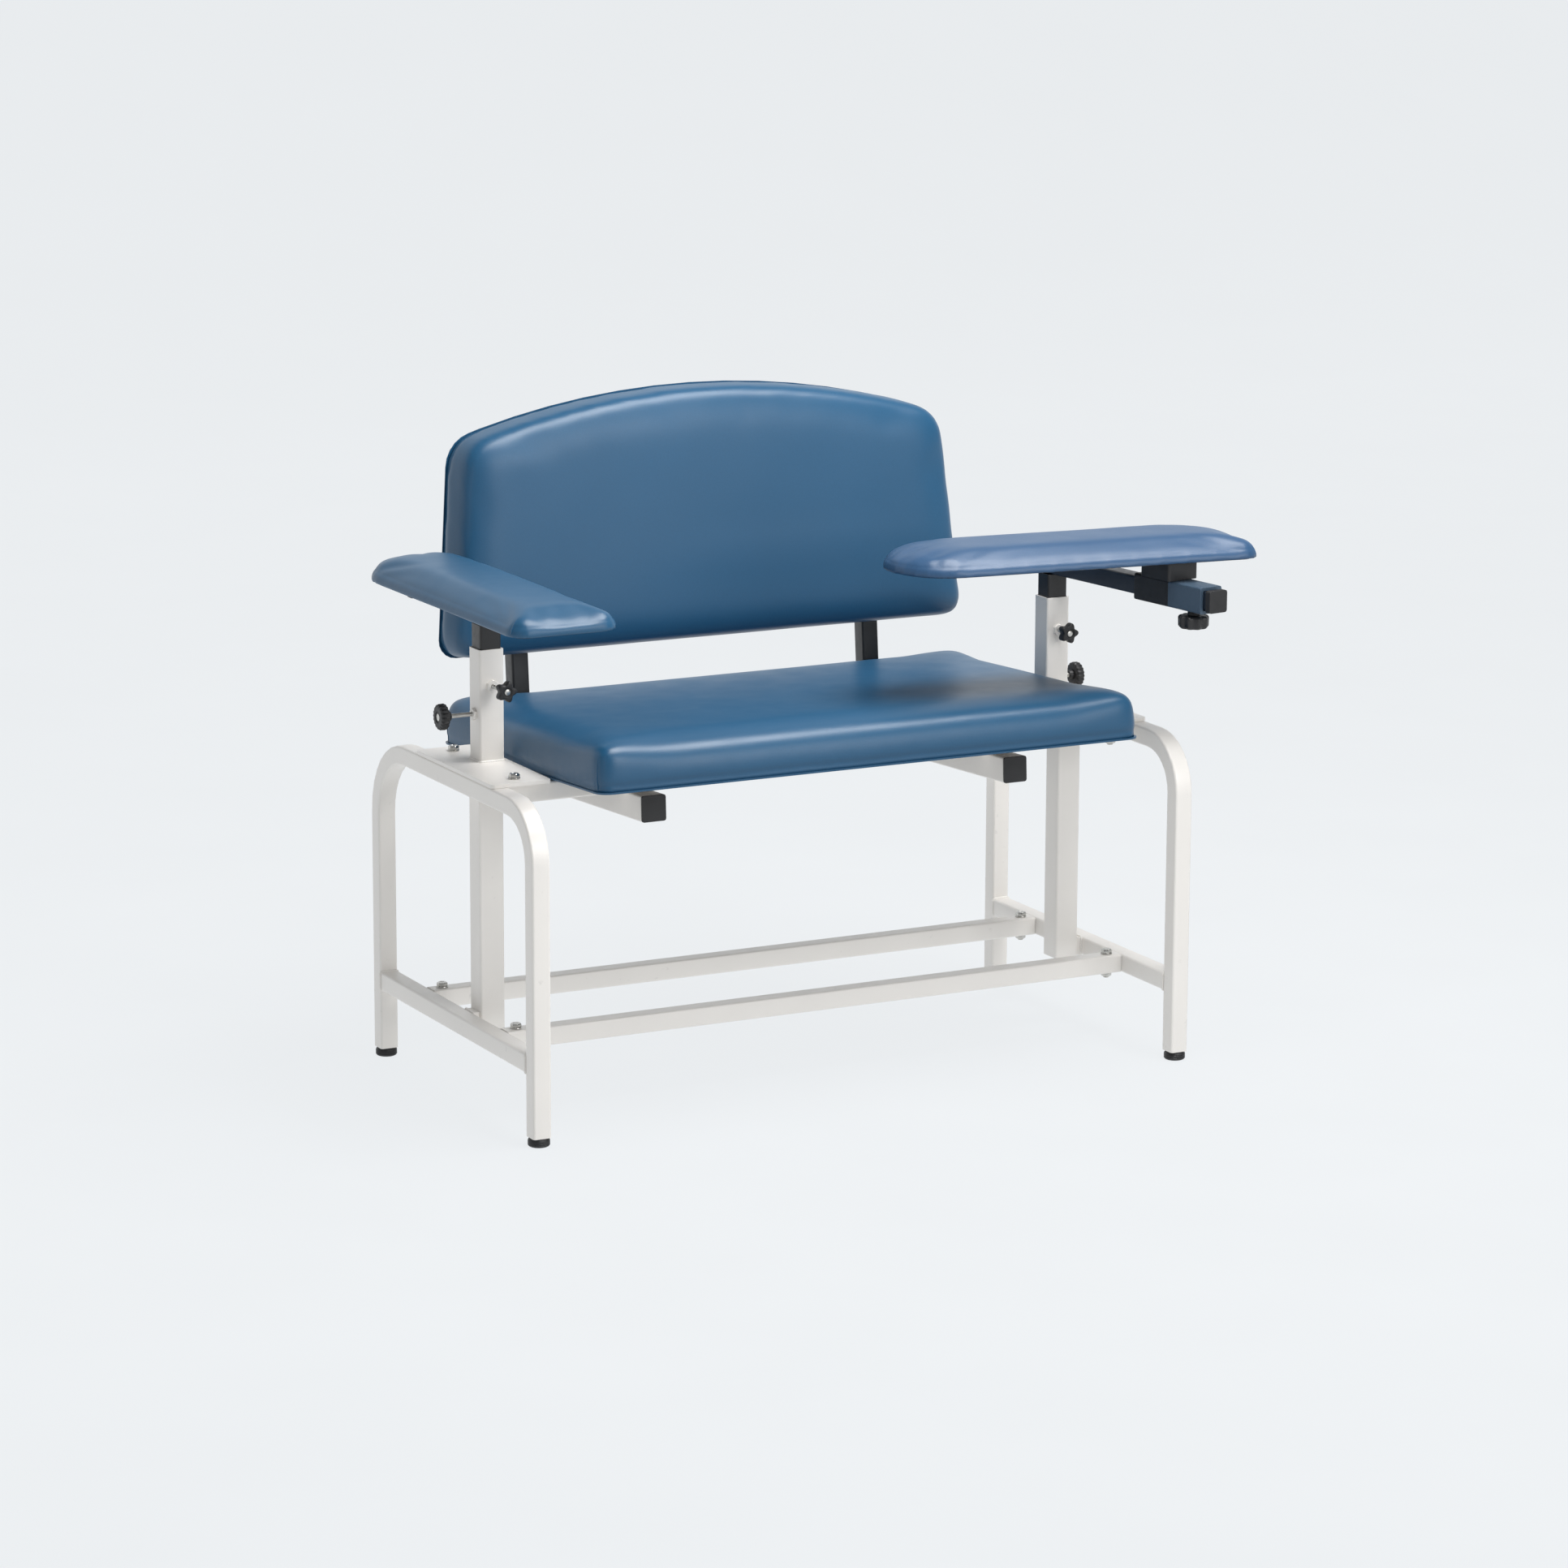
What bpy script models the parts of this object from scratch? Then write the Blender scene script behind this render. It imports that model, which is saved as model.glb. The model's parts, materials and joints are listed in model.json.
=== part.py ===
"""Extra-wide blood-drawing chair.

Two bent-tube end frames carry a bench seat, an arched back and two arm pads. Each arm rises in its post,
and its pad slides along a bar and swivels on it. Metres, +Z up, +Y to the back, left is -X.
Every object hangs from the empty "chair", which is moved last, so that the origin lies on the floor
under the middle of the whole object.
"""
import bmesh
import bpy
from math import atan2, cos, hypot, pi, radians, sin, tan
from mathutils import Vector

GAP = 0.0003                    # between solids that touch

# Frame
TUBE = 0.0254                   # square tube of the end frames, stretchers, cross rails, uprights and arm bars
TUBE_WALL = 0.0016
POST = 0.035                    # square tube of the posts and the seat rails
POST_WALL = 0.002
TUBE_CORNER = 0.003             # outer corner radius of every square tube
HALF_WIDTH = 0.4886             # to the outer faces of the end frames
HALF_DEPTH = 0.2606             # to the outer faces of the legs
FRAME_TOP = 0.4475
BEND_RADIUS = {"front": 0.066, "rear": 0.095}   # of the end frames' centre line
BEND_STEPS = 8
LEG_BOTTOM = 0.0118
LEG_END_PLATE = 0.003
STRETCHER_Z = 0.1071
CROSS_FRONT_Y = -0.113
CROSS_REAR_Y = 0.125
CROSS_FRONT_Z = 0.4347
CROSS_REAR_Z = 0.4227
SPIGOT = 0.020
SPIGOT_REACH = 0.048
BOLT_X = 0.446
POST_X = 0.4366
POST_Y = -0.003
STANDOFF_HEIGHT = 0.0254

# Bolts and feet
BOLT_RADIUS = 0.004
BOLT_HOLE_RADIUS = 0.0045
WASHER_RADIUS = 0.008
WASHER_THICKNESS = 0.0016
HEX_RADIUS = 0.0073
HEX_HEIGHT = 0.0053
THREAD_END = 0.002              # of a bolt below its nut
FOOT_RADIUS = 0.0145
FOOT_STUD_TOP = 0.045

# Seat
SEAT_HALF_WIDTH = 0.404
SEAT_DEPTH = 0.513
SEAT_THICKNESS = 0.062
SEAT_CORNER = 0.025
SEAT_EDGE = 0.014               # radius of the rounded upper edge
SEAT_FRONT = (0.0, -0.2795, 0.458)
SEAT_TILT = radians(3)
BOARD_THICKNESS = 0.012
BOARD_MARGIN = 0.012
RAIL_X = 0.2696
RAIL_START = 0.1225             # along the seat, from its front edge
RAIL_END = 0.552
RAIL_DROP = 0.0285              # from the seat's underside to the rails' top
CAP_THICKNESS = 0.003
CAP_PLUG_LENGTH = 0.020

# Back
BACK_BOTTOM = (0.0, 0.183, 0.5415)
BACK_RECLINE = radians(5)
BACK_THICKNESS = 0.070
BACK_HALF_WIDTH = 0.397
BACK_SHOULDER_HALF_WIDTH = 0.370
BACK_SHOULDER = 0.3005          # heights up the face
BACK_CROWN = 0.3595
BACK_BOTTOM_CORNER = 0.028
BACK_TOP_CORNER = 0.055
BACK_EDGE = 0.018
CROWN_STEPS = 14
UPRIGHT_BOTTOM = -0.132         # along the back's face, from its lower edge
UPRIGHT_TOP = 0.2465

# Arms
PLATE_INNER_X = 0.404
PLATE_Y = (-0.138, 0.107)
PLATE_THICKNESS = 0.005
PLATE_BOLT_REAR_Y = 0.080
ARM_POST_X = {"left": 0.428, "right": 0.424}
ARM_POST_Y = 0.012
ARM_POST_TOP = 0.602
COLUMN = 0.030                  # square tube that slides in the arm post
COLUMN_BOTTOM = 0.474
BAR_Z = 0.6343                  # underside of the arm bars
BAR_HEADING = {"left": radians(90), "right": radians(-81.7)}
BAR_LENGTH = {"left": 0.215, "right": 0.344}    # from the post's axis
BAR_CAP = 0.030
BAR_CAP_THICKNESS = 0.0095
SLIDER = 0.036                  # the right bar's slider
SLIDER_BORE = 0.0264
COLLAR_SPAN = (0.199, 0.2697)   # distances along the bar
SLEEVE_SPAN = (0.270, 0.338)
SLIDER_KNOB_AT = 0.303
PIVOT_AT = {"left": 0.040, "right": 0.250}
PIVOT_RADIUS = 0.005
PIVOT_DEPTH = {"left": 0.0014, "right": 0.0045}
BLOCK_LENGTH = 0.060
BLOCK_WIDTH = 0.050
BLOCK_HEIGHT = {"left": 0.0170, "right": 0.0242}
PAD_HEADING = {"left": radians(90.2), "right": radians(174)}
PAD_PIVOT = {"left": 0.375, "right": 0.117}     # from the pad's square end
PAD_OFFSET = {"left": 0.038, "right": -0.033}   # of the pad's middle from its pivot, to its left
PAD_LENGTH = 0.512
PAD_WIDTH = {"left": 0.152, "right": 0.166}
PAD_OUTER_CORNERS = {"left": (0.025, 0.025), "right": (0.095, 0.025)}
PAD_THICKNESS = 0.031
PAD_EDGE = 0.014
PAD_BOARD_THICKNESS = 0.009
PAD_BOARD_SHOWS = 0.003         # how far the board stands below the vinyl
PAD_BOARD_MARGIN = 0.010
STAR_KNOB_Z = {"left": 0.554, "right": 0.557}
STAR_KNOB_STUD = {"left": 0.038, "right": 0.022}
LOCK_KNOB_Z = {"left": 0.515, "right": 0.488}
LOCK_KNOB_STUD = {"left": 0.041, "right": 0.016}

SIDES = {"left": -1, "right": 1}

# Colour, roughness and metallic value of each finish
FINISHES = {
    "vinyl": ((0.034, 0.107, 0.205), 0.38, 0.0),
    "vinyl_light": ((0.062, 0.147, 0.305), 0.38, 0.0),
    "white_paint": ((0.83, 0.81, 0.77), 0.35, 0.0),
    "slate_paint": ((0.035, 0.055, 0.085), 0.40, 0.2),
    "slider_paint": ((0.07, 0.115, 0.17), 0.42, 0.2),
    "black_plastic": ((0.012, 0.012, 0.013), 0.45, 0.0),
    "black_paint": ((0.015, 0.015, 0.017), 0.40, 0.1),
    "zinc": ((0.62, 0.61, 0.58), 0.35, 1.0),
    "plywood": ((0.12, 0.085, 0.06), 0.75, 0.0),
}


def finish(name):
    """Returns the named material, made at its first use."""
    found = bpy.data.materials.get(name)
    if found:
        return found
    color, roughness, metallic = FINISHES[name]
    material = bpy.data.materials.new(name)
    material.use_nodes = True
    shader = material.node_tree.nodes["Principled BSDF"]
    shader.inputs["Base Color"].default_value = (*color, 1.0)
    shader.inputs["Roughness"].default_value = roughness
    shader.inputs["Metallic"].default_value = metallic
    return material


def empty(name, location, rotation=(0, 0, 0), parent=None):
    """An axis or a tilted frame that other objects hang from."""
    holder = bpy.data.objects.new(name, None)
    bpy.context.collection.objects.link(holder)
    holder.location = location
    holder.rotation_euler = rotation
    holder.parent = parent
    return holder


def loft(name, rings, look, parent, location=(0, 0, 0), rotation=(0, 0, 0), hollow=False):
    """Skins rings of points. A hollow loft closes on its first ring, and any other is capped at both ends."""
    shape = bmesh.new()
    loops = []
    for ring in rings:
        loops.append([shape.verts.new(point) for point in ring])
    spans = list(zip(loops, loops[1:]))
    if hollow:
        spans.append((loops[-1], loops[0]))
    else:
        shape.faces.new(list(reversed(loops[0])))
        shape.faces.new(loops[-1])
    for low, high in spans:
        for index, corner in enumerate(low):
            following = (index + 1) % len(low)
            shape.faces.new((corner, low[following], high[following], high[index]))
    bmesh.ops.recalc_face_normals(shape, faces=shape.faces)
    mesh = bpy.data.meshes.new(name)
    shape.to_mesh(mesh)
    shape.free()
    mesh.shade_smooth()
    mesh.set_sharp_from_angle(angle=radians(35))
    mesh.materials.append(finish(look))
    piece = bpy.data.objects.new(name, mesh)
    bpy.context.collection.objects.link(piece)
    piece.parent = parent
    piece.location = location
    piece.rotation_euler = rotation
    return piece


def combine(target, tool, operation):
    """Joins the tool to the target or cuts it away, and leaves the tool as a wire guide."""
    tool.hide_render = True
    tool.display_type = "WIRE"
    change = target.modifiers.new(tool.name, "BOOLEAN")
    change.object = tool
    change.operation = operation
    change.solver = "EXACT"


def rounded_outline(corners, steps=5):
    """A closed outline through corners (x, y, radius), each rounded by an arc of its radius."""
    outline = []
    for index, (x, y, radius) in enumerate(corners):
        corner = Vector((x, y))
        if radius == 0:
            outline.append(corner)
            continue
        before = Vector(corners[index - 1][:2]) - corner
        after = Vector(corners[(index + 1) % len(corners)][:2]) - corner
        half_angle = before.angle(after) / 2
        reach = radius / tan(half_angle)
        middle = (before.normalized() + after.normalized()).normalized()
        centre = corner + middle * hypot(radius, reach)
        start = corner + before.normalized() * reach - centre
        end = corner + after.normalized() * reach - centre
        first = atan2(start.y, start.x)
        turn = (atan2(end.y, end.x) - first + pi) % (2 * pi) - pi
        for step in range(steps + 1):
            angle = first + turn * step / steps
            outline.append(centre + Vector((cos(angle), sin(angle))) * radius)
    return outline


def inset(outline, distance):
    """The counter-clockwise outline moved inwards by a distance."""
    moved = []
    for index, point in enumerate(outline):
        before = (point - outline[index - 1]).normalized()
        after = (outline[(index + 1) % len(outline)] - point).normalized()
        inwards = Vector((-before.y - after.y, before.x + after.x)).normalized()
        square = Vector((-before.y, before.x))
        moved.append(point + inwards * distance / inwards.dot(square))
    return moved


def at_height(outline, height):
    return [Vector((point.x, point.y, height)) for point in outline]


def square_outline(size, radius=TUBE_CORNER, depth=None):
    half = size / 2
    half_depth = (depth or size) / 2
    corners = ((half, half_depth), (-half, half_depth), (-half, -half_depth), (half, -half_depth))
    return rounded_outline([(x, y, radius) for x, y in corners], steps=2)


def round_like(outline, radius):
    """A circle with one point for each point of a square outline, evenly spaced."""
    count = len(outline)
    angles = [2 * pi * (index + 0.5) / count for index in range(count)]
    return [Vector((cos(angle), sin(angle))) * radius for angle in angles]


def tube(name, size, wall, length, look, parent, location, rotation=(0, 0, 0), closed_top=False):
    """A square tube along its own Z, open at both ends or closed at the top."""
    outer = square_outline(size)
    inner = square_outline(size - 2 * wall, TUBE_CORNER / 2)
    if closed_top:
        rings = [at_height(inner, length - wall), at_height(inner, 0), at_height(outer, 0)]
        rings.append(at_height(outer, length))
        return loft(name, rings, look, parent, location, rotation)
    rings = [at_height(outer, 0), at_height(outer, length), at_height(inner, length), at_height(inner, 0)]
    return loft(name, rings, look, parent, location, rotation, hollow=True)


def block(name, size, look, parent, location, rotation=(0, 0, 0), corner=0.001):
    """A box with rounded upright edges, standing on its location."""
    outline = square_outline(size[0], corner, size[1])
    rings = [at_height(outline, 0), at_height(outline, size[2])]
    return loft(name, rings, look, parent, location, rotation)


def circle(radius, count=12):
    angles = [2 * pi * index / count for index in range(count)]
    return [Vector((cos(angle), sin(angle))) * radius for angle in angles]


def drill(target, radius, length, parent, location, rotation=(0, 0, 0)):
    """Cuts a round hole along the drill's own Z, from its location."""
    outline = circle(radius)
    rings = [at_height(outline, 0), at_height(outline, length)]
    tool = loft(target.name + "_hole", rings, "zinc", parent, location, rotation)
    combine(target, tool, "DIFFERENCE")


TO_X = (0, pi / 2, 0)           # turns a piece's own Z to +X
TO_MINUS_X = (0, -pi / 2, 0)
TO_Y = (-pi / 2, 0, 0)
TO_MINUS_Y = (pi / 2, 0, 0)
DOWN = (pi, 0, 0)


def bend_stations(foot_z):
    """Points (y, z, heading) along an end frame's centre line, from the front foot over to the rear foot."""
    leg_y = HALF_DEPTH - TUBE / 2
    stations = [(-leg_y, foot_z, pi / 2)]
    for end, direction, first in (("front", -1, pi / 2), ("rear", 1, 0)):
        radius = BEND_RADIUS[end]
        centre_y = direction * (leg_y - radius)
        centre_z = FRAME_TOP - TUBE / 2 - radius
        for step in range(BEND_STEPS + 1):
            heading = first - pi / 2 * step / BEND_STEPS
            stations.append((centre_y - radius * sin(heading), centre_z + radius * cos(heading), heading))
    stations.append((leg_y, foot_z, -pi / 2))
    return stations


def ring_at(station, outline):
    y, z, heading = station
    return [Vector((point.x, y - sin(heading) * point.y, z + cos(heading) * point.y)) for point in outline]


def end_frame(side, chair):
    """A bent tube with a plate across each leg's end, bored for the foot, and a spigot for each cross rail."""
    sign = SIDES[side]
    outer = square_outline(TUBE)
    inner = square_outline(TUBE - 2 * TUBE_WALL, TUBE_CORNER / 2)
    bore = round_like(outer, BOLT_HOLE_RADIUS)
    outside = bend_stations(LEG_BOTTOM)
    inside = bend_stations(LEG_BOTTOM + LEG_END_PLATE)
    rings = [ring_at(station, outer) for station in outside]
    rings.append(ring_at(outside[-1], bore))
    rings.append(ring_at(inside[-1], bore))
    rings.extend(ring_at(station, inner) for station in reversed(inside))
    rings.append(ring_at(inside[0], bore))
    rings.append(ring_at(outside[0], bore))
    centre_x = sign * (HALF_WIDTH - TUBE / 2)
    frame = loft(f"end_frame_{side}", rings, "white_paint", chair, (centre_x, 0, 0), hollow=True)
    add_spigot(frame, sign, CROSS_FRONT_Y, CROSS_FRONT_Z, chair)
    add_spigot(frame, sign, CROSS_REAR_Y, CROSS_REAR_Z, chair)


def add_spigot(target, sign, y, z, chair):
    """Welds on the square peg that a cross tube slides over, and bores it for its bolt."""
    face_x = HALF_WIDTH - TUBE
    root = TUBE_WALL / 2
    location = (sign * (face_x + root), y, z)
    rotation = TO_MINUS_X if sign > 0 else TO_X
    peg = block(f"{target.name}_spigot", (SPIGOT, SPIGOT, SPIGOT_REACH + root), "white_paint", chair, location,
                rotation)
    combine(target, peg, "UNION")
    drill(target, BOLT_HOLE_RADIUS, TUBE, chair, (sign * BOLT_X, y, z - TUBE / 2))


def side_stretcher(side, chair):
    sign = SIDES[side]
    half_length = HALF_DEPTH - TUBE - GAP
    location = (sign * (HALF_WIDTH - TUBE / 2), -half_length, STRETCHER_Z)
    stretcher = tube(f"side_stretcher_{side}", TUBE, TUBE_WALL, 2 * half_length, "white_paint", chair, location,
                     TO_Y)
    add_spigot(stretcher, sign, CROSS_FRONT_Y, STRETCHER_Z, chair)
    add_spigot(stretcher, sign, CROSS_REAR_Y, STRETCHER_Z, chair)


def frame_post(side, chair):
    """The post beside an end frame, held off it by a block at each end."""
    sign = SIDES[side]
    bottom = STRETCHER_Z - TUBE / 2
    top = FRAME_TOP - GAP
    name = f"frame_post_{side}"
    post = tube(name, POST, POST_WALL, top - bottom, "white_paint", chair, (sign * POST_X, POST_Y, bottom))
    inner_x = POST_X + POST / 2 - POST_WALL / 2
    width = HALF_WIDTH - TUBE - GAP - inner_x
    for z in (bottom, top - STANDOFF_HEIGHT):
        standoff = block(f"{name}_standoff", (width, TUBE, STANDOFF_HEIGHT), "white_paint", chair,
                         (sign * (inner_x + width / 2), POST_Y, z))
        combine(post, standoff, "UNION")


def cross_tube(name, y, z, chair):
    half_length = HALF_WIDTH - TUBE - GAP
    rail = tube(name, TUBE, TUBE_WALL, 2 * half_length, "white_paint", chair, (-half_length, y, z), TO_X)
    for sign in SIDES.values():
        drill(rail, BOLT_HOLE_RADIUS, 2 * TUBE, chair, (sign * BOLT_X, y, z - TUBE))


def hex_outline(radius):
    """A hexagon with a point at the middle of each side, to match a circle of twelve."""
    flats = [cos(pi / 6) if index % 2 else 1.0 for index in range(12)]
    return [point * scale for point, scale in zip(circle(radius), flats)]


def bolt(name, grip, chair, x, y, top_z):
    """A hexagon bolt from above, with a washer under its head and a nut below its grip."""
    shank = circle(BOLT_RADIUS)
    hexagon = hex_outline(HEX_RADIUS)
    bottom = -grip - GAP
    washer_top = GAP + WASHER_THICKNESS
    rings = [
        at_height(shank, bottom - HEX_HEIGHT - THREAD_END),
        at_height(shank, bottom - HEX_HEIGHT),
        at_height(hexagon, bottom - HEX_HEIGHT),
        at_height(hexagon, bottom),
        at_height(shank, bottom),
        at_height(shank, GAP),
        at_height(circle(WASHER_RADIUS), GAP),
        at_height(circle(WASHER_RADIUS), washer_top),
        at_height(hexagon, washer_top),
        at_height(hexagon, washer_top + HEX_HEIGHT * 0.8),
        at_height(circle(HEX_RADIUS * 0.82), washer_top + HEX_HEIGHT),
    ]
    loft(name, rings, "zinc", chair, (x, y, top_z))


def levelling_foot(name, x, y, chair):
    """A glide that turns on its stud to set its height."""
    rim = FOOT_RADIUS - 0.002
    rings = [
        at_height(circle(rim, 20), 0),
        at_height(circle(FOOT_RADIUS, 20), 0.002),
        at_height(circle(FOOT_RADIUS, 20), 0.0085),
        at_height(circle(rim, 20), LEG_BOTTOM - GAP),
        at_height(circle(BOLT_RADIUS, 20), LEG_BOTTOM - GAP),
        at_height(circle(BOLT_RADIUS, 20), FOOT_STUD_TOP),
    ]
    loft(name, rings, "black_plastic", chair, (x, y, 0))


def cushion(name, outline, thickness, edge, margin, board, look, parent, rotation=(0, 0, 0)):
    """Foam and vinyl with a recess for the board in its underside and a rounded upper edge."""
    recess = inset(outline, margin - GAP)
    rings = [at_height(recess, board + GAP), at_height(recess, 0), at_height(outline, 0)]
    for step in range(4):
        angle = pi / 2 * step / 3
        ring = inset(outline, edge * (1 - cos(angle)))
        rings.append(at_height(ring, thickness - edge + edge * sin(angle)))
    return loft(name, rings, look, parent, rotation=rotation)


def board(name, outline, margin, bottom, top, parent, rotation=(0, 0, 0)):
    panel = inset(outline, margin)
    return loft(name, [at_height(panel, bottom), at_height(panel, top)], "plywood", parent, rotation=rotation)


def rectangle(x_span, y_span, radii):
    """Counter-clockwise corners, starting at the low x and low y."""
    places = ((x_span[0], y_span[0]), (x_span[1], y_span[0]), (x_span[1], y_span[1]), (x_span[0], y_span[1]))
    return [(x, y, radius) for (x, y), radius in zip(places, radii)]


def rail_cap(name, parent, location, rotation):
    """An end cap whose plug fills the rail's mouth."""
    plate = square_outline(POST)
    plug = square_outline(POST - 2 * POST_WALL - 0.001, TUBE_CORNER / 2)
    rings = [
        at_height(plug, -CAP_PLUG_LENGTH),
        at_height(plug, GAP),
        at_height(plate, GAP),
        at_height(plate, CAP_THICKNESS),
    ]
    loft(name, rings, "black_plastic", parent, location, rotation)


def seat(chair):
    """The cushion on its board, and the two rails that run back from under it."""
    tilted = empty("seat", SEAT_FRONT, (-SEAT_TILT, 0, 0), chair)
    span = (-SEAT_HALF_WIDTH, SEAT_HALF_WIDTH)
    outline = rounded_outline(rectangle(span, (0, SEAT_DEPTH), [SEAT_CORNER] * 4))
    cushion("seat_cushion", outline, SEAT_THICKNESS, SEAT_EDGE, BOARD_MARGIN, BOARD_THICKNESS, "vinyl", tilted)
    board("seat_board", outline, BOARD_MARGIN, 0, BOARD_THICKNESS, tilted)
    rail_z = -RAIL_DROP - POST / 2
    for side, sign in SIDES.items():
        x = sign * RAIL_X
        tube(f"seat_rail_{side}", POST, POST_WALL, RAIL_END - RAIL_START, "white_paint", tilted,
             (x, RAIL_START, rail_z), TO_Y)
        rail_cap(f"rail_cap_front_{side}", tilted, (x, RAIL_START, rail_z), TO_MINUS_Y)
        rail_cap(f"rail_cap_rear_{side}", tilted, (x, RAIL_END, rail_z), TO_Y)


def back_outline():
    """Leaning sides, rounded corners and a crown that is one arc of a circle."""
    rise = BACK_CROWN - BACK_SHOULDER
    radius = (BACK_SHOULDER_HALF_WIDTH ** 2 + rise ** 2) / (2 * rise)
    half_angle = atan2(BACK_SHOULDER_HALF_WIDTH, radius - rise)
    corners = [(-BACK_HALF_WIDTH, 0, BACK_BOTTOM_CORNER), (BACK_HALF_WIDTH, 0, BACK_BOTTOM_CORNER)]
    corners.append((BACK_SHOULDER_HALF_WIDTH, BACK_SHOULDER, BACK_TOP_CORNER))
    for step in range(1, CROWN_STEPS):
        angle = half_angle * (1 - 2 * step / CROWN_STEPS)
        corners.append((radius * sin(angle), BACK_CROWN - radius * (1 - cos(angle)), 0))
    corners.append((-BACK_SHOULDER_HALF_WIDTH, BACK_SHOULDER, BACK_TOP_CORNER))
    return rounded_outline(corners)


def back(chair):
    """The cushion and its board, drawn lying on the board's rear face and stood up, and the two uprights."""
    reclined = empty("back", BACK_BOTTOM, (-BACK_RECLINE, 0, 0), chair)
    rear = empty("back_rear_face", (0, BACK_THICKNESS, 0), (pi / 2, 0, 0), reclined)
    outline = back_outline()
    cushion("back_cushion", outline, BACK_THICKNESS, BACK_EDGE, BOARD_MARGIN, BOARD_THICKNESS, "vinyl", rear)
    board("back_board", outline, BOARD_MARGIN, 0, BOARD_THICKNESS, rear)
    y = BACK_THICKNESS + 2 * GAP + TUBE / 2
    for side, sign in SIDES.items():
        tube(f"back_upright_{side}", TUBE, TUBE_WALL, UPRIGHT_TOP - UPRIGHT_BOTTOM, "black_paint", reclined,
             (sign * RAIL_X, y, UPRIGHT_BOTTOM), closed_top=True)


def knob_rings(head_radius, lobes, lobe_depth, head_span, hub_radius, hub_start, stud_radius, stud_start):
    """Rings of a hand knob on its stud, along +Z, from the stud's tip to the knob's face."""
    count = 6 * lobes if lobes else 24
    waves = [1 - lobe_depth * (1 - cos(lobes * 2 * pi * index / count)) / 2 for index in range(count)]
    low, high = head_span
    bevel = (high - low) * 0.2

    def head(radius):
        return [point * wave for point, wave in zip(circle(radius, count), waves)]

    return [
        at_height(circle(stud_radius, count), stud_start),
        at_height(circle(stud_radius, count), hub_start),
        at_height(circle(hub_radius, count), hub_start),
        at_height(circle(hub_radius, count), low),
        at_height(head(head_radius - bevel), low),
        at_height(head(head_radius), low + bevel),
        at_height(head(head_radius), high - bevel),
        at_height(head(head_radius - bevel), high),
    ]


def arm_base(side, chair):
    """The plate on the end frame, its two bolts, and the post that stands on it with its two clamp knobs."""
    sign = SIDES[side]
    bottom = FRAME_TOP + GAP
    top = bottom + PLATE_THICKNESS
    span = sorted((sign * PLATE_INNER_X, sign * (HALF_WIDTH + GAP)))
    outline = rounded_outline(rectangle(span, PLATE_Y, [0.006] * 4), steps=3)
    rings = [at_height(outline, bottom), at_height(outline, top)]
    plate = loft(f"arm_base_plate_{side}", rings, "white_paint", chair)
    drill(plate, BOLT_HOLE_RADIUS, 2 * TUBE, chair, (sign * BOLT_X, CROSS_FRONT_Y, bottom - TUBE))
    drill(plate, BOLT_HOLE_RADIUS, 2 * TUBE, chair, (sign * BOLT_X, PLATE_BOLT_REAR_Y, bottom - TUBE))
    rail_bottom = CROSS_FRONT_Z - TUBE / 2
    bolt(f"rail_bolt_front_{side}", top - rail_bottom, chair, sign * BOLT_X, CROSS_FRONT_Y, top)
    bolt(f"rail_bolt_rear_{side}", TUBE, chair, sign * BOLT_X, CROSS_REAR_Y, CROSS_REAR_Z + TUBE / 2)
    bolt(f"plate_bolt_{side}", PLATE_THICKNESS, chair, sign * BOLT_X, PLATE_BOLT_REAR_Y, top)

    foot = top + GAP
    x = sign * ARM_POST_X[side]
    post = tube(f"arm_post_{side}", POST, POST_WALL, ARM_POST_TOP - foot, "white_paint", chair,
                (x, ARM_POST_Y, foot))
    clamp_knob(f"star_knob_{side}", post, 0.0145, 5, STAR_KNOB_STUD[side], chair,
               (x, ARM_POST_Y - POST / 2, STAR_KNOB_Z[side]), TO_MINUS_Y)
    clamp_knob(f"lock_knob_{side}", post, 0.0175, 0, LOCK_KNOB_STUD[side], chair,
               (x + sign * POST / 2, ARM_POST_Y, LOCK_KNOB_Z[side]), TO_X if sign > 0 else TO_MINUS_X)


def clamp_knob(name, post, radius, lobes, stud_length, chair, location, turn):
    """A knob whose stud passes the post's wall and presses on the column inside."""
    stud_tip = (POST - COLUMN) / 2 - GAP
    hub = stud_length - 0.006
    rings = knob_rings(radius, lobes, 0.30, (stud_length, stud_length + 0.012), 0.0065, hub, 0.003, -stud_tip)
    loft(name, rings, "black_plastic", chair, location, turn)
    bore_depth = POST_WALL * 2
    outwards = {TO_X: (1, 0), TO_MINUS_X: (-1, 0), TO_MINUS_Y: (0, -1)}[turn]
    start = (location[0] - outwards[0] * bore_depth, location[1] - outwards[1] * bore_depth, location[2])
    drill(post, 0.0035, POST / 2, chair, start, turn)


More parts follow.
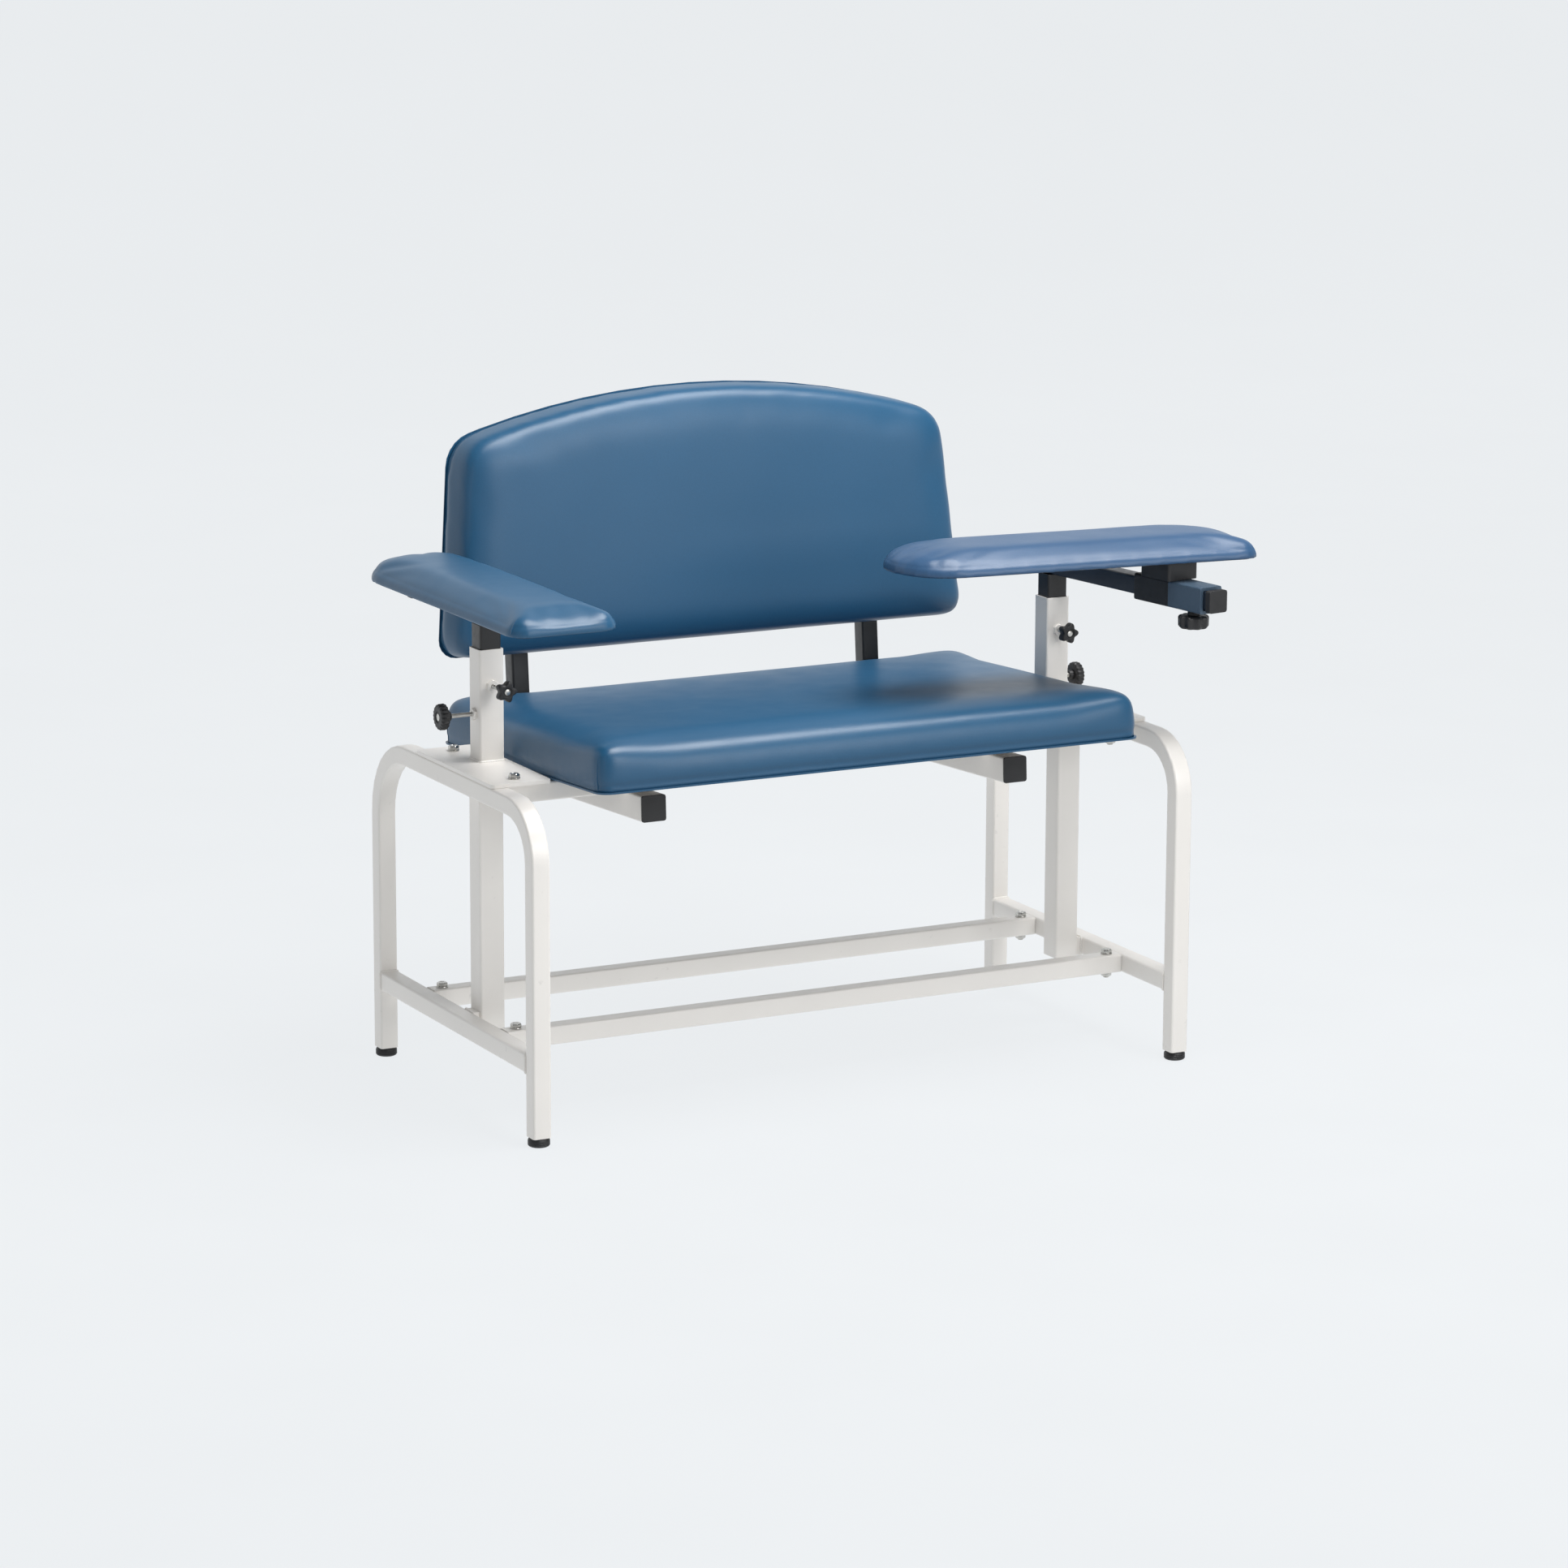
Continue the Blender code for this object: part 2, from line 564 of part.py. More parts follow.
def arm(side, chair):
    """What rises in the post: the column and its bar. The pad turns on the left bar, and on the right slider."""
    x = SIDES[side] * ARM_POST_X[side]
    height = empty(f"arm_height_{side}", (x, ARM_POST_Y, BAR_Z), (0, 0, BAR_HEADING[side]), chair)
    tube(f"arm_column_{side}", COLUMN, POST_WALL, BAR_Z - GAP - COLUMN_BOTTOM, "black_paint", height,
         (0, 0, COLUMN_BOTTOM - BAR_Z), (0, 0, -BAR_HEADING[side]))
    middle = TUBE / 2
    heel = POST / 2
    length = BAR_LENGTH[side]
    bar = tube(f"arm_bar_{side}", TUBE, TUBE_WALL, length + heel, "slate_paint", height, (-heel, 0, middle), TO_X)
    bar_cap(side, height, (length, 0, middle))
    if side == "left":
        carrier = height
        pivot_z = TUBE + GAP
        carrier_top = bar
    else:
        carrier = empty("pad_slide_right", (0, 0, middle), parent=height)
        pivot_z = SLIDER / 2 + GAP
        carrier_top = slider(carrier)
    drill_z = pivot_z - GAP - SLIDER / 4
    drill(carrier_top, PIVOT_RADIUS + GAP, SLIDER / 2, carrier, (PIVOT_AT[side], 0, drill_z))

    turn = PAD_HEADING[side] - BAR_HEADING[side]
    swivel = empty(f"pad_swivel_{side}", (PIVOT_AT[side], 0, pivot_z), (0, 0, turn), carrier)
    swivel_block(side, swivel, turn)
    pad(side, swivel)


def bar_cap(side, height, location):
    plate = square_outline(BAR_CAP)
    plug = square_outline(TUBE - 2 * TUBE_WALL - 0.001, TUBE_CORNER / 2)
    rings = [
        at_height(plug, -CAP_PLUG_LENGTH),
        at_height(plug, GAP),
        at_height(plate, GAP),
        at_height(plate, BAR_CAP_THICKNESS),
    ]
    loft(f"bar_cap_{side}", rings, "black_plastic", height, location, TO_X)


def slider(carrier):
    """The collar that carries the pad, and the sleeve with its clamp knob. Returns the collar."""
    wall = (SLIDER - SLIDER_BORE) / 2
    pieces = []
    for name, (start, end), look in (("slider_collar", COLLAR_SPAN, "black_plastic"),
                                     ("slider_sleeve", SLEEVE_SPAN, "slider_paint")):
        pieces.append(tube(name, SLIDER, wall, end - start, look, carrier, (start, 0, 0), TO_X))
    collar, sleeve = pieces
    drill(sleeve, 0.004, SLIDER / 2, carrier, (SLIDER_KNOB_AT, 0, -SLIDER_BORE / 4), DOWN)
    stud_tip = (SLIDER - TUBE) / 2 - GAP
    rings = knob_rings(0.021, 0, 0, (0.007, 0.025), 0.008, 0.001, 0.0035, -stud_tip)
    loft("slider_knob", rings, "black_plastic", carrier, (SLIDER_KNOB_AT, 0, -SLIDER / 2), DOWN)
    return collar


def swivel_block(side, swivel, turn):
    """The block under the pad, with the pivot pin that turns in the piece below it."""
    outline = square_outline(BLOCK_LENGTH, 0.004, BLOCK_WIDTH)
    pin = round_like(outline, PIVOT_RADIUS)
    rings = [
        at_height(pin, -PIVOT_DEPTH[side]),
        at_height(pin, 0),
        at_height(outline, 0),
        at_height(outline, BLOCK_HEIGHT[side]),
    ]
    loft(f"swivel_block_{side}", rings, "black_plastic", swivel, rotation=(0, 0, -turn))


def pad(side, swivel):
    """Square at the end x = 0 of its own frame and round at the far end."""
    lifted = empty(f"pad_{side}", (-PAD_PIVOT[side], PAD_OFFSET[side],
                                   BLOCK_HEIGHT[side] + GAP + PAD_BOARD_SHOWS), parent=swivel)
    half = PAD_WIDTH[side] / 2
    round_end = half - 0.001
    first, last = PAD_OUTER_CORNERS[side]
    corners = rectangle((0, PAD_LENGTH), (-half, half), [first, round_end, round_end, last])
    outline = rounded_outline(corners, steps=7)
    look = "vinyl" if side == "left" else "vinyl_light"
    inner_board = PAD_BOARD_THICKNESS - PAD_BOARD_SHOWS
    cushion(f"pad_cushion_{side}", outline, PAD_THICKNESS - PAD_BOARD_SHOWS, PAD_EDGE, PAD_BOARD_MARGIN,
            inner_board, look, lifted)
    board(f"pad_board_{side}", outline, PAD_BOARD_MARGIN, -PAD_BOARD_SHOWS, inner_board, lifted)


def centre_on_floor(chair):
    """Moves the whole object, so that the origin is under the middle of its box."""
    bpy.context.view_layer.update()
    corners = []
    for piece in bpy.data.objects:
        if piece.type == "MESH" and not piece.hide_render:
            corners.extend(piece.matrix_world @ vertex.co for vertex in piece.data.vertices)
    for axis in (0, 1):
        values = [corner[axis] for corner in corners]
        chair.location[axis] = -(min(values) + max(values)) / 2


def build():
    for old in list(bpy.data.objects):
        bpy.data.objects.remove(old, do_unlink=True)
    chair = empty("chair", (0, 0, 0))
    leg_x = HALF_WIDTH - TUBE / 2
    leg_y = HALF_DEPTH - TUBE / 2
    for side, sign in SIDES.items():
        end_frame(side, chair)
        side_stretcher(side, chair)
        frame_post(side, chair)
        for end, y, leg in (("front", CROSS_FRONT_Y, -leg_y), ("rear", CROSS_REAR_Y, leg_y)):
            bolt(f"stretcher_bolt_{end}_{side}", TUBE, chair, sign * BOLT_X, y, STRETCHER_Z + TUBE / 2)
            levelling_foot(f"foot_{end}_{side}", sign * leg_x, leg, chair)
        arm_base(side, chair)
        arm(side, chair)
    cross_tube("long_stretcher_front", CROSS_FRONT_Y, STRETCHER_Z, chair)
    cross_tube("long_stretcher_rear", CROSS_REAR_Y, STRETCHER_Z, chair)
    cross_tube("cross_rail_front", CROSS_FRONT_Y, CROSS_FRONT_Z, chair)
    cross_tube("cross_rail_rear", CROSS_REAR_Y, CROSS_REAR_Z, chair)
    seat(chair)
    back(chair)
    centre_on_floor(chair)


build()
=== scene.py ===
"""Looks of the extra-wide blood-drawing chair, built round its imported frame.

Metres, +Z up, +Y to the back, left is -X. Hard parts are finer copies of the CAD nodes or are turned anew.
The cushions and arm pads are vinyl covers, rolled over at their upper edges and filled out by a cloth
simulation.
"""
import json
from math import cos, pi, radians, sin, tanh

import bmesh
import bpy
from mathutils import Matrix, Vector, noise
from mathutils.bvhtree import BVHTree


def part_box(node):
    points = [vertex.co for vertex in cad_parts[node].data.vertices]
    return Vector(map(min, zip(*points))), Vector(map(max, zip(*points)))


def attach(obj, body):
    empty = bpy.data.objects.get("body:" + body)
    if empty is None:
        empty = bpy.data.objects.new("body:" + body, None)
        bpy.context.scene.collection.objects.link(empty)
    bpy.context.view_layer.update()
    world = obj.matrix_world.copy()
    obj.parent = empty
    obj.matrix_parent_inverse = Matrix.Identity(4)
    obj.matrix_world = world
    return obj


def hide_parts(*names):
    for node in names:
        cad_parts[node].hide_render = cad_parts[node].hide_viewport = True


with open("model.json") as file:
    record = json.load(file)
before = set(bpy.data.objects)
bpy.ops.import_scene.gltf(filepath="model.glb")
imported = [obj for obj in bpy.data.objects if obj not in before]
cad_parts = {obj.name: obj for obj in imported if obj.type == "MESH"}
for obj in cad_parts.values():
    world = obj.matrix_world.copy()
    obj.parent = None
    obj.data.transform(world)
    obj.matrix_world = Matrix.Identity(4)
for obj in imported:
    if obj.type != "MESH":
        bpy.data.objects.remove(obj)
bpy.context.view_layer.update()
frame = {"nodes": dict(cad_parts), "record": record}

SIDES = {"left": -1, "right": 1}
SEAT_TILT = radians(-3)             # about X, of the seat's upper face from level
BACK_TILT = radians(85)             # about X, of the back's front face from level

# Hard parts
EDGE = 0.0004                       # bevel on their sharp edges
TUBE = 0.0254
STUD_RADIUS = 0.003                 # of the hand knobs
SHANK_RADIUS = 0.004                # of the bolts and the levelling feet
THREAD_PITCH = 0.00125
THREAD_DEPTH = 0.0003
BEAD_RADIUS = 0.0019                # of the welds
BEAD_PITCH = 0.0034

# Soft parts
RECESS_TOP = 0.013                  # everything lower in a CAD cushion belongs to its board's recess
BOARD_PROUD = 0.001                 # how far a board stands out of the vinyl round it
STUFFING_PRESSURE = 4.0
STUFFING_FRAMES = 20
STAPLED_SHARE = 0.16                # of a cover's height that is held still while it is stuffed
SMOOTHING = {"fresh": 6, "cushion": 14, "pad": 7}  # rounds before the stuffing, and after it by kind
SIDE_PLAY = 0.001                   # how far past its outline a cover may grow to the left and right
WRAP_WIDTH = 0.034                  # of the vinyl that is folded over a board's edge
WRAP_THICKNESS = 0.0008
WRAP_STEP = 0.004                   # between the sections of a wrap
STAPLE_SPACING = 0.038
STAPLE = (0.011, 0.0012, 0.0009, 1)  # length, width and height
TUCK_WIDTH = 0.0034                 # of the folds at the seat's and the pads' corners
TUCK_HEIGHT = 0.0010
TUCK_FOOT = 0.003                   # where a fold starts above the board
ROLL_EASING = 0.11                  # how far from a square corner the edge's roll grows tighter
RIM = 0.011                         # width and height of the part that is drawn tight over a board's edge
RIM_DROP = 0.0012                   # how far that part is drawn down past the outline's foot
NEAR_RIM = RIM * 1.6


# ---------------------------------------------------------------- materials

def shader_node(tree, kind, inputs=None, **settings):
    """Adds a node, sets its properties, and sets or links its inputs."""
    made = tree.nodes.new(kind)
    for key, value in settings.items():
        setattr(made, key, value)
    for socket, value in (inputs or {}).items():
        if isinstance(value, bpy.types.NodeSocket):
            tree.links.new(value, made.inputs[socket])
        else:
            made.inputs[socket].default_value = value
    return made


def new_material(name, base):
    """A material, its tree, its shader and the object coordinates that its textures share."""
    material = bpy.data.materials.new(name)
    material.use_nodes = True
    material.diffuse_color = (*base, 1)
    tree = material.node_tree
    place = shader_node(tree, "ShaderNodeTexCoord").outputs["Object"]
    return material, tree, tree.nodes["Principled BSDF"], place


def speckle(tree, place, scale, detail=3.0, low=0.0, high=1.0):
    """Noise spread to the range low to high."""
    source = shader_node(tree, "ShaderNodeTexNoise", {"Vector": place, "Scale": scale, "Detail": detail})
    spread = shader_node(tree, "ShaderNodeMapRange", {"Value": source.outputs["Fac"], "From Min": 0.3,
                                                      "From Max": 0.7, "To Min": low, "To Max": high})
    return spread.outputs["Result"]


def mixed(tree, factor, first, second):
    mix = shader_node(tree, "ShaderNodeMix", data_type="RGBA")
    tree.links.new(factor, mix.inputs["Factor"])
    for socket, value in (("A", first), ("B", second)):
        target = next(s for s in mix.inputs if s.name == socket and s.type == "RGBA")
        if isinstance(value, bpy.types.NodeSocket):
            tree.links.new(value, target)
        else:
            target.default_value = (*value, 1)
    return next(s for s in mix.outputs if s.type == "RGBA")


def bump(tree, height, distance, below=None):
    inputs = {"Height": height, "Distance": distance, "Strength": 1.0}
    if below:
        inputs["Normal"] = below
    return shader_node(tree, "ShaderNodeBump", inputs).outputs["Normal"]


def shade(color, factor):
    return tuple(channel * factor for channel in color)


def vinyl(name, base):
    """Upholstery vinyl with a pebbled leather grain, soft folds and an uneven sheen."""
    material, tree, shader, place = new_material(name, base)
    clouds = speckle(tree, place, 4.0, 2.0)
    flecks = speckle(tree, place, 420.0, 4.0, 0.0, 0.22)
    color = mixed(tree, clouds, shade(base, 0.96), shade(base, 1.04))
    color = mixed(tree, flecks, color, shade(base, 0.70))
    tree.links.new(color, shader.inputs["Base Color"])
    tree.links.new(speckle(tree, place, 24.0, 3.0, 0.36, 0.41), shader.inputs["Roughness"])
    pebbles = shader_node(tree, "ShaderNodeTexVoronoi", {"Vector": place, "Scale": 780.0},
                          feature="SMOOTH_F1")
    folds = bump(tree, speckle(tree, place, 12.0, 1.0), 0.00010)
    pores = bump(tree, speckle(tree, place, 1500.0, 2.0), 0.00002, folds)
    grain = bump(tree, pebbles.outputs["Distance"], 0.00005, pores)
    tree.links.new(grain, shader.inputs["Normal"])
    shader.inputs["Specular IOR Level"].default_value = 0.48
    shader.inputs["Coat Weight"].default_value = 0.05
    shader.inputs["Coat Roughness"].default_value = 0.25
    return material


def paint(name, base, roughness, worn, metallic=0.0):
    """Powder coat: fine orange peel, faint clouds, and a few small scuffs, more of them near the floor."""
    material, tree, shader, place = new_material(name, base)
    height = shader_node(tree, "ShaderNodeSeparateXYZ", {"Vector": place}).outputs["Z"]
    low = shader_node(tree, "ShaderNodeMapRange", {"Value": height, "From Min": 0.0, "From Max": 0.5,
                                                   "To Min": 1.0, "To Max": 0.3}).outputs["Result"]
    patches = shader_node(tree, "ShaderNodeTexNoise", {"Vector": place, "Scale": 85.0, "Detail": 6.0})
    rare = shader_node(tree, "ShaderNodeMapRange", {"Value": patches.outputs["Fac"], "From Min": 0.68,
                                                    "From Max": 0.76, "To Max": 0.30}).outputs["Result"]
    scuffs = shader_node(tree, "ShaderNodeMath", {0: low, 1: rare}, operation="MULTIPLY").outputs["Value"]
    color = mixed(tree, speckle(tree, place, 9.0), shade(base, 0.98), shade(base, 1.015))
    color = mixed(tree, scuffs, color, worn)
    tree.links.new(color, shader.inputs["Base Color"])
    tree.links.new(speckle(tree, place, 130.0, 3.0, roughness - 0.05, roughness + 0.07),
                   shader.inputs["Roughness"])
    peel = bump(tree, speckle(tree, place, 620.0, 2.0), 0.00003)
    tree.links.new(peel, shader.inputs["Normal"])
    shader.inputs["Metallic"].default_value = metallic
    shader.inputs["Coat Weight"].default_value = 0.15
    shader.inputs["Coat Roughness"].default_value = 0.25
    return material


def plastic(name, base):
    """Moulded plastic with a fine spark-eroded texture and paler rubbed patches."""
    material, tree, shader, place = new_material(name, base)
    color = mixed(tree, speckle(tree, place, 45.0, 4.0, 0.0, 0.8), base, shade(base, 1.9))
    tree.links.new(color, shader.inputs["Base Color"])
    tree.links.new(speckle(tree, place, 90.0, 3.0, 0.38, 0.55), shader.inputs["Roughness"])
    tree.links.new(bump(tree, speckle(tree, place, 1400.0, 2.0), 0.00004), shader.inputs["Normal"])
    return material


def plated(name, base):
    """Zinc or chrome plate: a drawn grain along Z and a mottled brightness."""
    material, tree, shader, place = new_material(name, base)
    drawn = shader_node(tree, "ShaderNodeMapping", {"Vector": place, "Scale": (1.0, 1.0, 0.08)})
    grain = speckle(tree, drawn.outputs["Vector"], 900.0, 3.0)
    color = mixed(tree, speckle(tree, place, 160.0, 4.0), shade(base, 0.82), shade(base, 1.08))
    tree.links.new(color, shader.inputs["Base Color"])
    tree.links.new(speckle(tree, place, 210.0, 3.0, 0.22, 0.40), shader.inputs["Roughness"])
    tree.links.new(bump(tree, grain, 0.00002), shader.inputs["Normal"])
    shader.inputs["Metallic"].default_value = 1.0
    return material


def board_wood(name, base):
    """Plywood: stretched grain, darker pores and a dry surface."""
    material, tree, shader, place = new_material(name, base)
    along = shader_node(tree, "ShaderNodeMapping", {"Vector": place, "Scale": (1.0, 14.0, 14.0)})
    rings = shader_node(tree, "ShaderNodeTexNoise", {"Vector": along.outputs["Vector"], "Scale": 5.0,
                                                     "Detail": 8.0, "Distortion": 1.2})
    pores = speckle(tree, along.outputs["Vector"], 60.0, 4.0, 0.0, 0.6)
    color = mixed(tree, rings.outputs["Fac"], shade(base, 0.6), shade(base, 1.5))
    color = mixed(tree, pores, color, shade(base, 0.45))
    tree.links.new(color, shader.inputs["Base Color"])
    tree.links.new(speckle(tree, place, 50.0, 3.0, 0.62, 0.82), shader.inputs["Roughness"])
    tree.links.new(bump(tree, pores, 0.00012), shader.inputs["Normal"])
    return material


WHITE = (0.83, 0.80, 0.76)
LOOKS = {
    "vinyl": vinyl("vinyl_blue", (0.012, 0.080, 0.168)),
    # painted light: a paler copy of the blue vinyl for the right pad, standing in for the brighter light
    # that falls on it
    "vinyl_light": vinyl("vinyl_blue_painted_light", (0.026, 0.078, 0.168)),
    "white_paint": paint("powder_coat_white", WHITE, 0.34, shade(WHITE, 0.55)),
    "slate_paint": paint("powder_coat_slate", (0.012, 0.021, 0.037), 0.40, (0.06, 0.07, 0.09), 0.2),
    "slider_paint": paint("powder_coat_grey_blue", (0.060, 0.098, 0.145), 0.42, (0.14, 0.18, 0.23), 0.2),
    "black_paint": paint("powder_coat_black", (0.014, 0.014, 0.015), 0.38, (0.07, 0.07, 0.07), 0.1),
    "black_plastic": plastic("moulded_black", (0.011, 0.011, 0.012)),
    "zinc": plated("zinc_plate", (0.62, 0.61, 0.58)),
    # the board's near-black base is painted shade, for the dark under the pads; its grain and pores are the
    # wood's own
    "plywood": board_wood("plywood_painted_shade", (0.030, 0.022, 0.017)),
}


# ---------------------------------------------------------------- pieces

def piece_from(shape, name, slot, body, replaced=(), sharp=35):
    """Makes a piece of a bmesh: it rides on a body, and may stand for CAD nodes."""
    bmesh.ops.recalc_face_normals(shape, faces=shape.faces)
    mesh = bpy.data.meshes.new(name)
    shape.to_mesh(mesh)
    shape.free()
    mesh.shade_smooth()
    mesh.set_sharp_from_angle(angle=radians(sharp))
    mesh.materials.append(LOOKS[slot])
    piece = bpy.data.objects.new(name, mesh)
    bpy.context.scene.collection.objects.link(piece)
    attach(piece, body)
    if replaced:
        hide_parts(*replaced)
    return piece


def cad_shape(node):
    """A CAD node's mesh as a bmesh with its corners joined."""
    shape = bmesh.new()
    shape.from_mesh(frame["nodes"][node].data)
    bmesh.ops.remove_doubles(shape, verts=shape.verts, dist=1e-6)
    return shape


def refine(node, slot, body):
    """A finer copy of a hard CAD node: eased edges, and shading that keeps its flat faces flat."""
    shape = cad_shape(node)
    bmesh.ops.dissolve_limit(shape, angle_limit=radians(0.5), verts=shape.verts, edges=shape.edges)
    piece = piece_from(shape, f"finished_{node}", slot, body, [node], sharp=180)
    marks = piece.data.attributes.get("custom_normal")
    if marks:
        piece.data.attributes.remove(marks)
    ease = piece.modifiers.new("eased_edges", "BEVEL")
    ease.width = EDGE
    ease.segments = 2
    ease.limit_method = "ANGLE"
    ease.angle_limit = radians(50)
    flat = piece.modifiers.new("flat_faces", "WEIGHTED_NORMAL")
    flat.keep_sharp = False
    return piece


def toward(origin, axis):
    """Places a shape that is drawn about +Z at an origin, with its Z along an axis."""
    return Matrix.Translation(origin) @ Vector(axis).to_track_quat("Z", "Y").to_matrix().to_4x4()


def add_turned(shape, profile, place, segments=32):
    """Adds a turned body. Its profile is (radius, height) or (radius, height, outline by angle)."""
    loops = []
    for radius, height, *outline in profile:
        loop = []
        for index in range(segments):
            angle = 2 * pi * index / segments
            reach = radius * outline[0](angle) if outline else radius
            loop.append(shape.verts.new(place @ Vector((reach * cos(angle), reach * sin(angle), height))))
        loops.append(loop)
    shape.faces.new(list(reversed(loops[0])))
    shape.faces.new(loops[-1])
    for low, high in zip(loops, loops[1:]):
        for index, corner in enumerate(low):
            following = (index + 1) % segments
            shape.faces.new((corner, low[following], high[following], high[index]))


def thread(radius, start, end):
    """Profile of a threaded length: a crest and a root for each turn."""
    turns = int((end - start) / THREAD_PITCH)
    profile = [(radius - THREAD_DEPTH, start)]
    for turn in range(turns):
        base = start + turn * THREAD_PITCH
        profile.append((radius, base + THREAD_PITCH * 0.5))
        profile.append((radius - THREAD_DEPTH, base + THREAD_PITCH))
    profile.append((radius - THREAD_DEPTH * 2, end))
    return profile


def hexagon(angle):
    """Distance to a hexagon's side, where its corners are at 1."""
    return cos(pi / 6) / cos((angle + pi / 6) % (pi / 3) - pi / 6)


def lobes(count, depth):
    return lambda angle: 1 - depth * (1 - cos(count * angle)) / 2


def box_centre(node):
    low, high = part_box(node)
    return (low + high) / 2


# ---------------------------------------------------------------- hardware

def hex_bolt(node):
    """A domed hexagon head on its washer, a nut below the grip and the thread's end."""
    low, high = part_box(node)
    middle = (low + high) / 2
    washer_radius = (high.x - low.x) / 2
    head = 0.0053
    washer = 0.0016
    corner = 0.0073
    washer_bottom = high.z - head - washer
    nut_bottom = low.z + 0.002
    shape = bmesh.new()
    level = Matrix.Translation((middle.x, middle.y, 0))
    add_turned(shape, [
        (washer_radius * 0.97, washer_bottom),
        (washer_radius, washer_bottom + washer * 0.3),
        (washer_radius, washer_bottom + washer * 0.7),
        (washer_radius * 0.97, washer_bottom + washer),
    ], level, 40)
    bottom = washer_bottom + washer
    add_turned(shape, [
        (corner * 0.86, bottom),
        (corner * 0.95, bottom + head * 0.06, hexagon),
        (corner, bottom + head * 0.16, hexagon),
        (corner, bottom + head * 0.72, hexagon),
        (corner * 0.93, bottom + head * 0.88, hexagon),
        (corner * 0.80, bottom + head),
        (corner * 0.55, bottom + head * 0.98),
        (corner * 0.50, bottom + head * 0.92),
    ], level, 48)
    add_turned(shape, [(SHANK_RADIUS, nut_bottom + head), (SHANK_RADIUS, washer_bottom)], level, 24)
    add_turned(shape, [
        (corner * 0.80, nut_bottom),
        (corner, nut_bottom + head * 0.16, hexagon),
        (corner, nut_bottom + head * 0.84, hexagon),
        (corner * 0.84, nut_bottom + head),
    ], level, 48)
    add_turned(shape, thread(SHANK_RADIUS, low.z, nut_bottom), level, 24)
    piece_from(shape, f"finished_{node}", "zinc", "frame", [node], sharp=28)


def knob(node, root, axis, radius, outline, hub_radius=0.0065):
    """A moulded hand knob, its steel insert and its threaded stud. Root is where the stud enters."""
    low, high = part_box(node)
    axis = Vector(axis)
    end = max(axis.dot(low - root), axis.dot(high - root))
    head = 0.012 if radius < 0.02 else 0.018
    start = end - head
    hub = max(start - 0.006, 0.0008)
    shape = bmesh.new()
    profile = [(hub_radius * 0.92, hub), (hub_radius, hub + 0.0008), (hub_radius * 1.06, start - 0.0002)]
    for step in range(5):
        angle = pi / 2 * step / 4
        height = start + head * 0.22 * (1 - cos(angle))
        profile.append((radius * (0.80 + 0.20 * sin(angle)), height, outline))
    for step in range(1, 6):
        angle = pi / 2 * step / 5
        height = end - head * 0.30 * (1 - sin(angle))
        profile.append((radius * (0.72 + 0.28 * cos(angle)), height, outline))
    profile.append((radius * 0.46, end - 0.0002))
    profile.append((radius * 0.42, end - 0.0012))
    profile.append((radius * 0.30, end - 0.0014))
    add_turned(shape, profile, toward(root, axis), 120)
    piece_from(shape, f"finished_{node}", "black_plastic", node, [node])
    shape = bmesh.new()
    add_turned(shape, thread(STUD_RADIUS, -0.002, hub + 0.002), toward(root, axis), 24)
    add_turned(shape, [
        (radius * 0.27, end - 0.0016),
        (radius * 0.27, end - 0.0008),
        (radius * 0.22, end - 0.0004),
    ], toward(root, axis), 32)
    piece_from(shape, f"{node}_stud", "zinc", node)


def welded_nut(name, root, axis):
    """A nut welded to an arm post, that a stud passes through."""
    radius = 0.0085
    height = 0.004
    shape = bmesh.new()
    add_turned(shape, [
        (radius, 0.0, hexagon),
        (radius, height * 0.75, hexagon),
        (radius * 0.84, height),
        (STUD_RADIUS * 1.15, height),
        (STUD_RADIUS * 1.10, height * 0.9),
    ], toward(root, axis), 48)
    piece_from(shape, name, "white_paint", "frame", sharp=28)


def hand_knobs():
    for side, sign in SIDES.items():
        post_low, post_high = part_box(f"arm_post_{side}")
        middle = (post_low + post_high) / 2
        star = f"star_knob_{side}"
        root = Vector((middle.x, post_low.y, box_centre(star).z))
        knob(star, root, (0, -1, 0), 0.0145, lobes(5, 0.30))
        welded_nut(f"star_nut_{side}", root, (0, -1, 0))
        lock = f"lock_knob_{side}"
        outer = post_high.x if sign > 0 else post_low.x
        root = Vector((outer, middle.y, box_centre(lock).z))
        knob(lock, root, (sign, 0, 0), 0.0175, lobes(18, 0.09))
        welded_nut(f"lock_nut_{side}", root, (sign, 0, 0))
    centre = box_centre("slider_knob")
    root = Vector((centre.x, centre.y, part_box("slider_sleeve")[0].z))
    knob("slider_knob", root, (0, 0, -1), 0.021, lobes(9, 0.12), 0.008)


def glide(node):
    """A levelling foot: a ribbed moulded base and its plated stud."""
    low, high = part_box(node)
    middle = (low + high) / 2
    radius = (high.x - low.x) / 2
    top = 0.0115
    place = Matrix.Translation((middle.x, middle.y, 0))
    profile = [(radius - 0.0024, low.z), (radius - 0.0012, low.z + 0.0006), (radius, low.z + 0.0022)]
    for rib in range(3):
        base = 0.0032 + 0.0018 * rib
        profile.append((radius, base))
        profile.append((radius - 0.0004, base + 0.0004))
        profile.append((radius - 0.0004, base + 0.0008))
        profile.append((radius, base + 0.0012))
    profile.append((radius - 0.0008, 0.0096))
    profile.append((radius - 0.0022, top))
    shape = bmesh.new()
    add_turned(shape, profile, place, 48)
    piece_from(shape, f"finished_{node}", "black_plastic", node, [node])
    shape = bmesh.new()
    add_turned(shape, thread(SHANK_RADIUS, top, high.z), place, 24)
    piece_from(shape, f"{node}_stud", "zinc", node)


